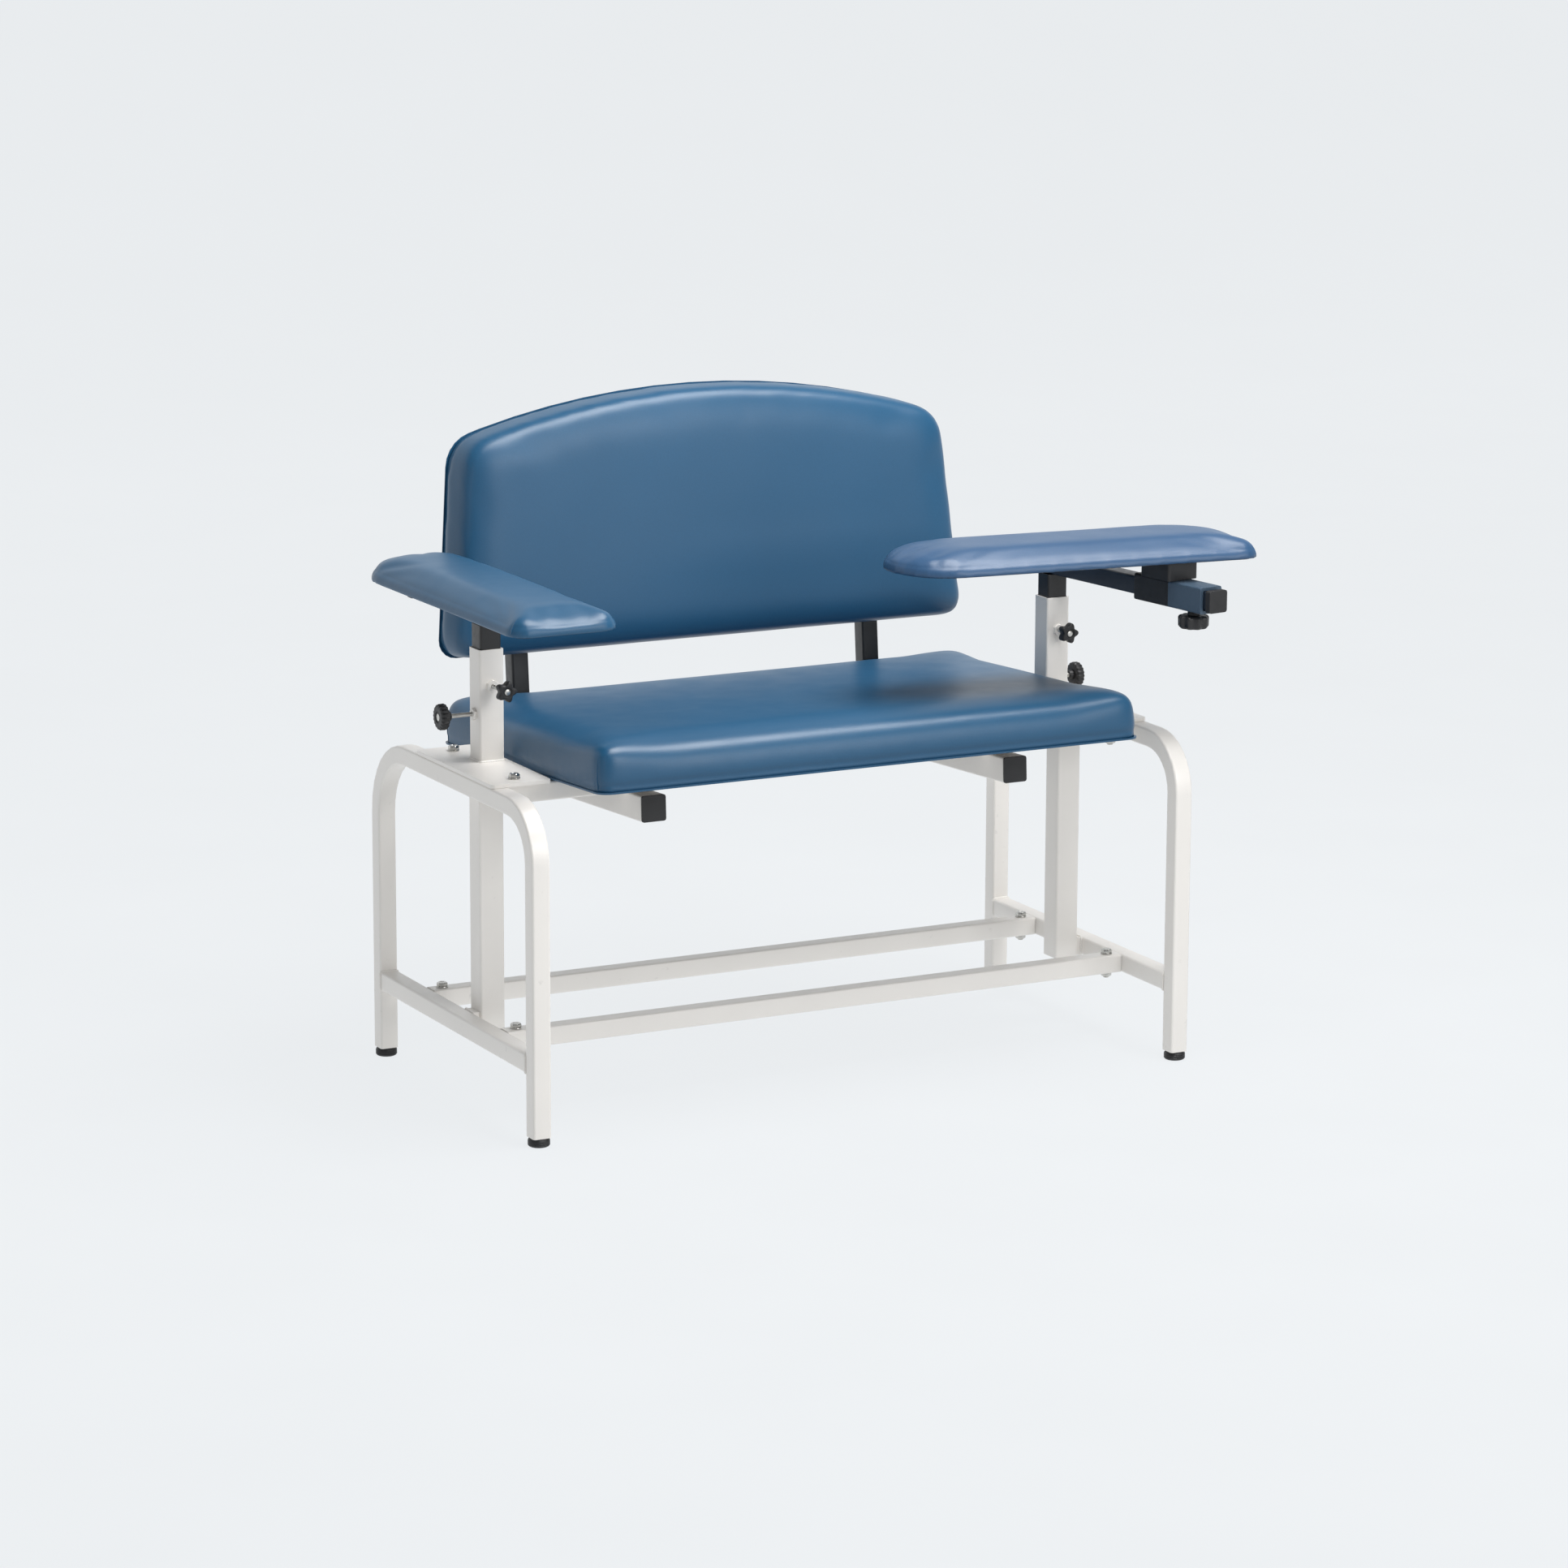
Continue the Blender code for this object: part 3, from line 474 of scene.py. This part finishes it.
def cross_bolt():
    """The plated socket bolt through the right swivel block, with its washer."""
    middle = box_centre("swivel_block_right")
    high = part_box("swivel_block_right")[1]
    root = Vector((high.x - 0.0035, middle.y - 0.004, high.z - 0.011))
    place = toward(root, (1, -0.1, 0))
    shape = bmesh.new()
    add_turned(shape, [(0.0085, 0.0), (0.0088, 0.0006), (0.0085, 0.0014)], place, 36)
    add_turned(shape, [
        (0.0060, 0.0014),
        (0.0065, 0.0024),
        (0.0065, 0.0080),
        (0.0057, 0.0088),
        (0.0034, 0.0088, hexagon),
        (0.0034, 0.0056, hexagon),
    ], place, 48)
    piece_from(shape, "swivel_bolt_right", "zinc", "right_pad", sharp=30)


# ---------------------------------------------------------------- welds

def square_path(half_x, half_y, corner=0.003, spacing=0.0011):
    """Points at even steps round a rectangle with rounded corners."""
    points = []
    for quarter in range(4):
        middle_angle = pi / 2 * quarter
        x = (half_x - corner) * (1 if quarter in (0, 3) else -1)
        y = (half_y - corner) * (1 if quarter in (0, 1) else -1)
        for step in range(5):
            angle = middle_angle + pi / 2 * step / 4
            points.append(Vector((x + corner * cos(angle), y + corner * sin(angle))))
    path = []
    for index, point in enumerate(points):
        following = points[(index + 1) % len(points)]
        count = max(1, round((following - point).length / spacing))
        path.extend(point.lerp(following, step / count) for step in range(count))
    return path


def add_bead(shape, path, place):
    """Adds a rippled weld bead along a closed flat path."""
    loops = []
    travelled = 0.0
    for index, point in enumerate(path):
        run = path[(index + 1) % len(path)] - path[index - 1]
        travelled += run.length / 2
        outward = Vector((run.y, -run.x)).normalized()
        ripple = 0.13 * sin(2 * pi * travelled / BEAD_PITCH)
        wander = 0.18 * noise.noise(place @ Vector((point.x * 90, point.y * 90, 0)))
        radius = BEAD_RADIUS * (1 + ripple + wander)
        loop = []
        for step in range(8):
            angle = 2 * pi * step / 8
            spot = point + outward * radius * cos(angle)
            loop.append(shape.verts.new(place @ Vector((spot.x, spot.y, radius * sin(angle)))))
        loops.append(loop)
    for index, low in enumerate(loops):
        high = loops[(index + 1) % len(loops)]
        for step in range(8):
            following = (step + 1) % 8
            shape.faces.new((low[step], low[following], high[following], high[step]))


def welds():
    """Beads where the stretchers, posts and uprights meet what carries them."""
    shape = bmesh.new()
    half = TUBE / 2
    tube_path = square_path(half, half)
    for side, sign in SIDES.items():
        low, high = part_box(f"side_stretcher_{side}")
        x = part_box(f"end_frame_{side}")[0 if sign < 0 else 1].x - sign * half
        z = (low.z + high.z) / 2
        for y in (low.y, high.y):
            add_bead(shape, tube_path, toward(Vector((x, y, z)), (0, 1, 0)))
        low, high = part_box(f"frame_post_{side}")
        x = low.x if sign < 0 else high.x
        y = (low.y + high.y) / 2
        for z in (low.z + half, high.z - half):
            add_bead(shape, tube_path, toward(Vector((x, y, z)), (1, 0, 0)))
        low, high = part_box(f"arm_post_{side}")
        middle = (low + high) / 2
        ring = square_path((high.x - low.x) / 2, (high.y - low.y) / 2)
        add_bead(shape, ring, Matrix.Translation((middle.x, middle.y, low.z)))
        low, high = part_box(f"back_upright_{side}")
        foot = Vector(((low.x + high.x) / 2, low.y + half, low.z))
        add_bead(shape, tube_path, Matrix.Translation(foot) @ Matrix.Rotation(SEAT_TILT, 4, "X"))
    piece_from(shape, "frame_welds", "white_paint", "frame", sharp=60)


# ---------------------------------------------------------------- upholstery

def walls_of(outline):
    """The upright walls over an outline, and for each wall the direction into the cushion."""
    middle = sum(outline, Vector((0, 0))) / len(outline)
    corners = []
    inward = []
    for index, point in enumerate(outline):
        following = outline[(index + 1) % len(outline)]
        corners += [(*point, -1), (*following, -1), (*following, 1), (*point, 1)]
        run = (following - point).normalized()
        side = Vector((-run.y, run.x, 0))
        inward.append(side if side.xy.dot(middle - point) > 0 else -side)
    quads = [tuple(range(start, start + 4)) for start in range(0, len(corners), 4)]
    return BVHTree.FromPolygons(corners, quads), inward


def roll_edges(cover, outline, top, roll, tight_spots):
    """Rounds the cover's upper edge over: a wide roll that grows tighter near each square corner."""
    wide, deep, tight = roll
    walls, inward = walls_of(outline)
    for vertex in cover.data.vertices:
        point = vertex.co
        spot, _, wall, _ = walls.find_nearest(point)
        away = (point - spot).dot(inward[wall])
        nearest = min(((point.xy - corner).length for corner in tight_spots), default=ROLL_EASING)
        ease = min(1.0, nearest / ROLL_EASING) ** 0.8
        across = tight + (wide - tight) * ease
        down = tight + (deep - tight) * ease
        over = Vector(((across - away) / across, (point.z - top + down) / down))
        if over.x <= 0 or over.y <= 0 or over.length <= 1:
            continue
        over.normalize()
        vertex.co = point + inward[wall] * (across - over.x * across - away)
        vertex.co.z = top - down + over.y * down


def square_rim(cover, outline, flush):
    """Draws the lower edge tight over the board's edge, and down past it, so that the vinyl hides it.

    A flush rim comes out to the outline itself, and any other keeps under the sides as they are.
    """
    walls, inward = walls_of(outline)
    found = []
    for vertex in cover.data.vertices:
        if vertex.co.z < NEAR_RIM:
            spot, _, wall, _ = walls.find_nearest(vertex.co)
            found.append((vertex, inward[wall], (vertex.co - spot).dot(inward[wall])))
    sides = sorted(away for vertex, _, away in found if vertex.co.z > RIM and away < RIM)
    side = 0.0 if flush else sides[len(sides) // 2]
    for vertex, direction, away in found:
        out = Vector(((RIM + side - away) / RIM, (RIM - vertex.co.z) / RIM))
        if out.x <= 0 or out.y <= 0:
            continue
        tightness = min(1.0, 2 * min(out))
        out = out.lerp(out / max(out), tightness)
        vertex.co += direction * (RIM + side - out.x * RIM - away)
        vertex.co.z = RIM - out.y * (RIM + RIM_DROP * tightness)


def stuffed(shape, name, pinned_below, cap, voxel, calm, roll_over):
    """Remeshes a closed cover finely, rolls its edges and fills it out, held where it is stapled."""
    mesh = bpy.data.meshes.new(name)
    shape.to_mesh(mesh)
    shape.free()
    cover = bpy.data.objects.new(name, mesh)
    bpy.context.scene.collection.objects.link(cover)
    remesh = cover.modifiers.new("weave", "REMESH")
    remesh.mode = "VOXEL"
    remesh.voxel_size = voxel
    bake(cover)
    roll_over(cover)
    settle(cover, SMOOTHING["fresh"])
    fill_out(cover, pinned_below, cap)
    settle(cover, calm)
    finer = cover.modifiers.new("finer", "SUBSURF")
    finer.levels = 1
    bake(cover)
    return cover


def bake(piece):
    """Applies a piece's modifiers to its mesh."""
    bpy.context.view_layer.update()
    applied = bpy.data.meshes.new_from_object(piece.evaluated_get(bpy.context.evaluated_depsgraph_get()))
    piece.modifiers.clear()
    piece.data = applied


def settle(piece, rounds):
    """Smooths a piece's mesh a number of times."""
    shape = bmesh.new()
    shape.from_mesh(piece.data)
    for _ in range(rounds):
        bmesh.ops.smooth_vert(shape, verts=shape.verts, factor=0.5, use_axis_x=True, use_axis_y=True,
                              use_axis_z=True)
    shape.to_mesh(piece.data)
    shape.free()


def fill_out(cover, pinned_below, cap):
    """Lets the stuffing press the cover outwards, by no more than about the cap."""
    rest = [vertex.co.copy() for vertex in cover.data.vertices]
    stapled = cover.vertex_groups.new(name="stapled")
    stapled.add([index for index, point in enumerate(rest) if point.z < pinned_below], 1.0, "REPLACE")
    cloth = cover.modifiers.new("stuffing", "CLOTH")
    cloth.settings.vertex_group_mass = stapled.name
    cloth.settings.use_pressure = True
    cloth.settings.uniform_pressure_force = STUFFING_PRESSURE
    cloth.settings.effector_weights.gravity = 0.0
    cloth.point_cache.frame_start = 1
    cloth.point_cache.frame_end = STUFFING_FRAMES
    scene = bpy.context.scene
    for step in range(1, STUFFING_FRAMES + 1):
        scene.frame_set(step)
    swollen = cover.evaluated_get(bpy.context.evaluated_depsgraph_get()).data
    moved = [vertex.co.copy() for vertex in swollen.vertices]
    cover.modifiers.clear()
    scene.frame_set(1)
    for vertex, start, end in zip(cover.data.vertices, rest, moved):
        move = end - start
        if move.length > 0:
            vertex.co = start + move * (cap * tanh(move.length / cap) / move.length)


def work_in(cover, height, keep_within):
    """Puckers by the stapled edge, slight waves in the sides, and no growth sideways past a limit."""
    cover.data.update()
    low_x, high_x = keep_within
    normals = [vertex.normal.copy() for vertex in cover.data.vertices]
    for vertex, normal in zip(cover.data.vertices, normals):
        point = vertex.co
        side = 1 - abs(normal.z)
        pucker = 0.0005 * side * noise.noise(Vector((point.x * 70, point.y * 70, 3.0)))
        pucker *= max(0.0, 1 - point.z / (height * 0.5))
        wave = 0.0004 * noise.noise(point * 9)
        vertex.co = point + normal * (pucker + wave * min(1.0, point.z / 0.01))
        vertex.co.x = min(max(vertex.co.x, low_x), high_x)


def outline_of(shape):
    """A CAD cushion's outer outline, in order: the points at its foot that stand below its side walls."""
    above = {(round(v.co.x, 4), round(v.co.y, 4)) for v in shape.verts if v.co.z > RECESS_TOP}
    foot = [Vector((v.co.x, v.co.y)) for v in shape.verts
            if v.co.z < 0.0005 and (round(v.co.x, 4), round(v.co.y, 4)) in above]
    middle = sum(foot, Vector((0, 0))) / len(foot)
    return sorted(foot, key=lambda point: (point - middle).angle_signed(Vector((1, 0)), 0))


def even_steps(outline, spacing):
    """Points at even steps along a closed outline, each with its inward direction."""
    middle = sum(outline, Vector((0, 0))) / len(outline)
    points = []
    for index, point in enumerate(outline):
        following = outline[(index + 1) % len(outline)]
        count = max(1, round((following - point).length / spacing))
        points.extend(point.lerp(following, step / count) for step in range(count))
    stations = []
    for index, point in enumerate(points):
        run = (points[(index + 1) % len(points)] - points[index - 1]).normalized()
        inward = Vector((-run.y, run.x))
        if inward.dot(middle - point) < 0:
            inward = -inward
        stations.append((point, inward, run))
    return stations


def wrap(name, outline, place, body):
    """The vinyl folded over a board's edge, with its wavy cut end, and the staples that hold it."""
    stations = even_steps(outline, WRAP_STEP)
    shape = bmesh.new()
    loops = []
    for point, inward, _ in stations:
        ripple = noise.noise(Vector((point.x * 60, point.y * 60, 0)))
        cut = WRAP_WIDTH + 0.003 * noise.noise(Vector((point.x * 22, point.y * 22, 5)))
        lift = 0.0007 * ripple
        section = (
            (0.0045, 0.0022),
            (0.0050, -0.0003),
            (0.0075, -WRAP_THICKNESS),
            (cut * 0.45, -WRAP_THICKNESS - 0.0003 + lift * 0.3),
            (cut * 0.80, -WRAP_THICKNESS - 0.0004 + lift * 0.6),
            (cut, -WRAP_THICKNESS - 0.0004 - abs(lift)),
            (cut + 0.0003, 0.0001),
            (cut * 0.5, 0.0006),
        )
        loop = []
        for reach, height in section:
            spot = point + inward * reach
            loop.append(shape.verts.new(place @ Vector((spot.x, spot.y, height))))
        loops.append(loop)
    for index, low in enumerate(loops):
        high = loops[(index + 1) % len(loops)]
        for step in range(len(low)):
            following = (step + 1) % len(low)
            shape.faces.new((low[step], low[following], high[following], high[step]))
    piece_from(shape, f"{name}_wrap", "vinyl", body, sharp=50)

    shape = bmesh.new()
    every = round(STAPLE_SPACING / WRAP_STEP)
    for point, inward, run in stations[::every]:
        spot = point + inward * (WRAP_WIDTH - 0.010)
        slant = run * 0.97 + inward * 0.24
        centre = place @ Vector((spot.x, spot.y, -WRAP_THICKNESS - 0.0004))
        along = place.to_3x3() @ Vector((slant.x, slant.y, 0))
        lie = Matrix.Translation(centre) @ along.to_track_quat("X", "Z").to_matrix().to_4x4()
        made = bmesh.ops.create_cube(shape, size=1.0, matrix=lie @ Matrix.Diagonal(STAPLE))
        edges = {edge for vertex in made["verts"] for edge in vertex.link_edges}
        bmesh.ops.bevel(shape, geom=list(edges), offset=0.0003, segments=2, affect="EDGES")
    piece_from(shape, f"{name}_staples", "zinc", body)


def tucks(name, cover, corners, top, place, slot, body):
    """Folds of spare vinyl that run down beside a cushion's square corners."""
    surface = BVHTree.FromPolygons([v.co.copy() for v in cover.data.vertices],
                                   [tuple(p.vertices) for p in cover.data.polygons])
    shape = bmesh.new()
    for corner, sweep in corners:
        direction = Vector((cos(sweep), sin(sweep), 0))
        loops = []
        steps = 12
        for step in range(steps + 1):
            height = TUCK_FOOT + (top - TUCK_FOOT) * step / steps
            start = Vector((corner.x, corner.y, height)) + direction * 0.05
            spot, normal, _, _ = surface.ray_cast(start, -direction)
            if spot is None:
                continue
            fade = 1 - (step / steps) ** 2 * 0.85
            across = Vector((0, 0, 1)).cross(normal).normalized()
            section = ((-0.5, -0.35), (-0.30, 0.55), (0.05, 1.0), (0.32, 0.9), (0.36, -0.35))
            loop = []
            for reach, rise in section:
                offset = across * reach * TUCK_WIDTH * fade + normal * rise * TUCK_HEIGHT * fade
                loop.append(shape.verts.new(place @ (spot + offset)))
            loops.append(loop)
        if len(loops) < 3:
            continue
        shape.faces.new(list(reversed(loops[0])))
        shape.faces.new(loops[-1])
        for low, high in zip(loops, loops[1:]):
            for index in range(len(low)):
                following = (index + 1) % len(low)
                shape.faces.new((low[index], low[following], high[following], high[index]))
    piece_from(shape, f"{name}_tucks", slot, body, sharp=70)


def upholster(node, slot, body, tilt, voxel, cap, inset, crown, roll, wrapped, square_corners, fill):
    """A cushion or pad: the CAD solid's cover, filled out and finished.

    The cover starts smaller by the inset and the crown, and the cap limits how far the stuffing moves it.
    A roll is the width and height of the rounded upper edge, and its radius at a square corner.
    A wrapped cover is folded over its board's edge and stapled.
    """
    turn = Matrix.Rotation(tilt, 4, "X")
    shape = cad_shape(node)
    shape.transform(turn.inverted())
    foot = min(vertex.co.z for vertex in shape.verts)
    place = turn @ Matrix.Translation((0, 0, foot))
    for vertex in shape.verts:
        vertex.co.z -= foot
    thickness = max(vertex.co.z for vertex in shape.verts)
    outline = outline_of(shape)
    low = Vector((min(p.x for p in outline), min(p.y for p in outline)))
    high = Vector((max(p.x for p in outline), max(p.y for p in outline)))
    middle = (low + high) / 2
    shrink = [1 - 2 * inset / (high[axis] - low[axis]) for axis in (0, 1)]
    for vertex in shape.verts:
        if vertex.co.z < RECESS_TOP:
            vertex.co.z = 0
        for axis in (0, 1):
            vertex.co[axis] = middle[axis] + (vertex.co[axis] - middle[axis]) * shrink[axis]
        vertex.co.z = BOARD_PROUD + vertex.co.z * (thickness - crown) / thickness
    drawn_in = [Vector(middle[axis] + (point[axis] - middle[axis]) * shrink[axis] for axis in (0, 1))
                for point in outline]
    tight_spots = []
    if wrapped and square_corners:
        tight_spots = [Vector((x, y)) for x in (low.x, high.x) for y in (low.y, high.y)]
    top = BOARD_PROUD + thickness - crown

    def roll_over(fresh):
        roll_edges(fresh, drawn_in, top, roll, tight_spots)

    name = node.replace("cushion", "cover")
    calm = SMOOTHING["cushion" if wrapped else "pad"]
    cover = stuffed(shape, name, thickness * STAPLED_SHARE, cap, voxel, calm, roll_over)
    work_in(cover, thickness, (low.x - SIDE_PLAY, high.x + SIDE_PLAY))
    square_rim(cover, drawn_in, flush=not wrapped)
    if square_corners:
        tucks(name, cover, square_corners(low, high), thickness * 0.80, place, slot, body)
    cover.data.transform(place)
    cover.data.shade_smooth()
    cover.data.materials.clear()
    cover.data.materials.append(LOOKS[slot])
    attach(cover, body)
    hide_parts(node)
    if wrapped:
        wrap(name, outline, place, body)
    return cover


def four_corners(low, high):
    """Beside each corner of the seat, on its shorter sides."""
    spread = radians(24)
    reach = 0.030
    return [
        (Vector((low.x + reach, low.y + reach)), radians(225) - spread),
        (Vector((high.x - reach, low.y + reach)), radians(315) + spread),
        (Vector((high.x - reach, high.y - reach)), radians(45) - spread),
        (Vector((low.x + reach, high.y - reach)), radians(135) + spread),
    ]


def pad_corners_left(low, high):
    reach = 0.028
    return [
        (Vector((low.x + reach, low.y + reach)), radians(205)),
        (Vector((high.x - reach, low.y + reach)), radians(335)),
    ]


def pad_corners_right(low, high):
    return [(Vector((high.x - 0.036, low.y + 0.046)), radians(300))]


# ---------------------------------------------------------------- the chair

SOFT = ("seat_cushion", "back_cushion", "pad_cushion_left", "pad_cushion_right")


def hard_parts():
    """Finer copies of every hard CAD node that isn't turned anew."""
    body_of = {}
    for body, members in frame["record"]["behaviour"]["bodies"].items():
        for member in members:
            body_of[member] = body
    for entry in frame["record"]["subparts"]:
        node = entry["node"]
        if node in SOFT or "knob" in node:
            continue
        if "bolt" in node:
            hex_bolt(node)
        elif node.startswith("foot_"):
            glide(node)
        else:
            refine(node, entry["material_slot"], body_of[node])


def soft_parts():
    cushion = {"body": "frame", "voxel": 0.006, "wrapped": True, "fill": 0.8}
    upholster("seat_cushion", "vinyl", tilt=SEAT_TILT, cap=0.0045, inset=0.0015, crown=0.001,
              roll=(0.034, 0.032, 0.005), square_corners=four_corners, **cushion)
    upholster("back_cushion", "vinyl", tilt=BACK_TILT, cap=0.005, inset=0.0020, crown=0.003,
              roll=(0.012, 0.012, 0.012), square_corners=None, **cushion)
    pad = {"tilt": 0.0, "voxel": 0.004, "cap": 0.006, "inset": 0.002, "crown": 0.003,
           "roll": (0.030, 0.021, 0.016), "wrapped": False, "fill": 0.75}
    upholster("pad_cushion_left", "vinyl", body="left_pad", square_corners=pad_corners_left, **pad)
    # the right pad wears the paler copy of the vinyl, which is painted light
    upholster("pad_cushion_right", "vinyl_light", body="right_pad", square_corners=pad_corners_right, **pad)



# ---------------------------------------------------------------- studio

CAMERA_YAW = radians(-27.29)
CAMERA_PITCH = radians(-12.32)
CAMERA_ROLL = radians(0.23)
CAMERA_OFFSET = (-3.28526, -6.37221, 1.96028)  # from the chair's middle
FOCAL_LENGTH = 125.09               # mm, on a sensor 36 mm wide
FLOOR_COLOR = (0.845, 0.870, 0.890)  # of its glow, while its paper is a dark shade of it
FLOOR_REACH = 90.0
FLOOR_DEPTH = 5.0                   # where it starts to curve up, behind the chair
FLOOR_CURVE = 3.0


def chair_middle():
    """The point on the floor midway between the end frames, and midway from front to back."""
    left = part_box("end_frame_left")
    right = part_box("end_frame_right")
    return Vector(((left[0].x + right[1].x) / 2, (left[0].y + left[1].y) / 2, 0))


def camera():
    """A long lens seven metres away, in front of the chair and to its left, and above its back."""
    ahead = Vector((
        -sin(CAMERA_YAW) * cos(CAMERA_PITCH),
        cos(CAMERA_YAW) * cos(CAMERA_PITCH),
        sin(CAMERA_PITCH),
    ))
    level = Vector((cos(CAMERA_YAW), sin(CAMERA_YAW), 0))
    up = level.cross(ahead)
    right = level * cos(CAMERA_ROLL) + up * sin(CAMERA_ROLL)
    up = up * cos(CAMERA_ROLL) - level * sin(CAMERA_ROLL)
    eye = bpy.data.objects.new("camera", bpy.data.cameras.new("camera"))
    bpy.context.scene.collection.objects.link(eye)
    place = Matrix((right, up, -ahead)).transposed().to_4x4()
    place.translation = chair_middle() + Vector(CAMERA_OFFSET)
    eye.matrix_world = place
    eye.data.sensor_width = 36
    eye.data.lens = FOCAL_LENGTH
    eye.data.shift_x = 0.0007
    eye.data.shift_y = -0.0067
    eye.data.clip_end = 200
    bpy.context.scene.camera = eye


def area_light(name, location, target, size, power, color=(1, 1, 1)):
    data = bpy.data.lights.new(name, "AREA")
    data.shape = "RECTANGLE"
    data.size, data.size_y = size
    data.energy = power
    data.color = color
    lamp = bpy.data.objects.new(name, data)
    bpy.context.scene.collection.objects.link(lamp)
    lamp.location = location
    lamp.rotation_euler = (Vector(target) - Vector(location)).to_track_quat("-Z", "Y").to_euler()


def studio():
    """A pale, faintly glowing floor that curves up behind, a dim room and three soft lights."""
    shape = bmesh.new()
    rows = []
    profile = [(-FLOOR_REACH, 0.0), (FLOOR_DEPTH, 0.0)]
    for step in range(1, 13):
        angle = pi / 2 * step / 12
        profile.append((FLOOR_DEPTH + FLOOR_CURVE * sin(angle), FLOOR_CURVE * (1 - cos(angle))))
    profile.append((FLOOR_DEPTH + FLOOR_CURVE, 9.0))
    for y, z in profile:
        rows.append([shape.verts.new((x, y, z)) for x in (-FLOOR_REACH, FLOOR_REACH)])
    for low, high in zip(rows, rows[1:]):
        shape.faces.new((low[0], low[1], high[1], high[0]))
    mesh = bpy.data.meshes.new("floor")
    shape.to_mesh(mesh)
    shape.free()
    mesh.shade_smooth()
    material, tree, shader, place = new_material("floor_lightbox", FLOOR_COLOR)
    color = mixed(tree, speckle(tree, place, 3.0), shade(FLOOR_COLOR, 0.055), shade(FLOOR_COLOR, 0.065))
    tree.links.new(color, shader.inputs["Base Color"])
    shader.inputs["Roughness"].default_value = 0.9
    shader.inputs["Specular IOR Level"].default_value = 0.1
    shader.inputs["Emission Color"].default_value = (*FLOOR_COLOR, 1)
    shader.inputs["Emission Strength"].default_value = 0.93
    mesh.materials.append(material)
    floor = bpy.data.objects.new("floor", mesh)
    bpy.context.scene.collection.objects.link(floor)

    world = bpy.data.worlds.new("room")
    bpy.context.scene.world = world
    world.use_nodes = True
    background = world.node_tree.nodes["Background"]
    background.inputs["Color"].default_value = (0.97, 0.985, 1.0, 1)
    background.inputs["Strength"].default_value = 0.28
    area_light("overhead", (0.45, -0.65, 2.8), (0, 0, 0.5), (1.9, 1.3), 88)
    area_light("left", (-3.2, -2.0, 1.5), (0, 0, 0.7), (0.35, 1.7), 3)
    area_light("front", (1.4, -4.6, 2.2), (0, 0, 0.4), (2.6, 2.0), 76)
    bpy.context.scene.view_settings.view_transform = "Standard"


camera()
studio()
hard_parts()
hand_knobs()
cross_bolt()
welds()
soft_parts()
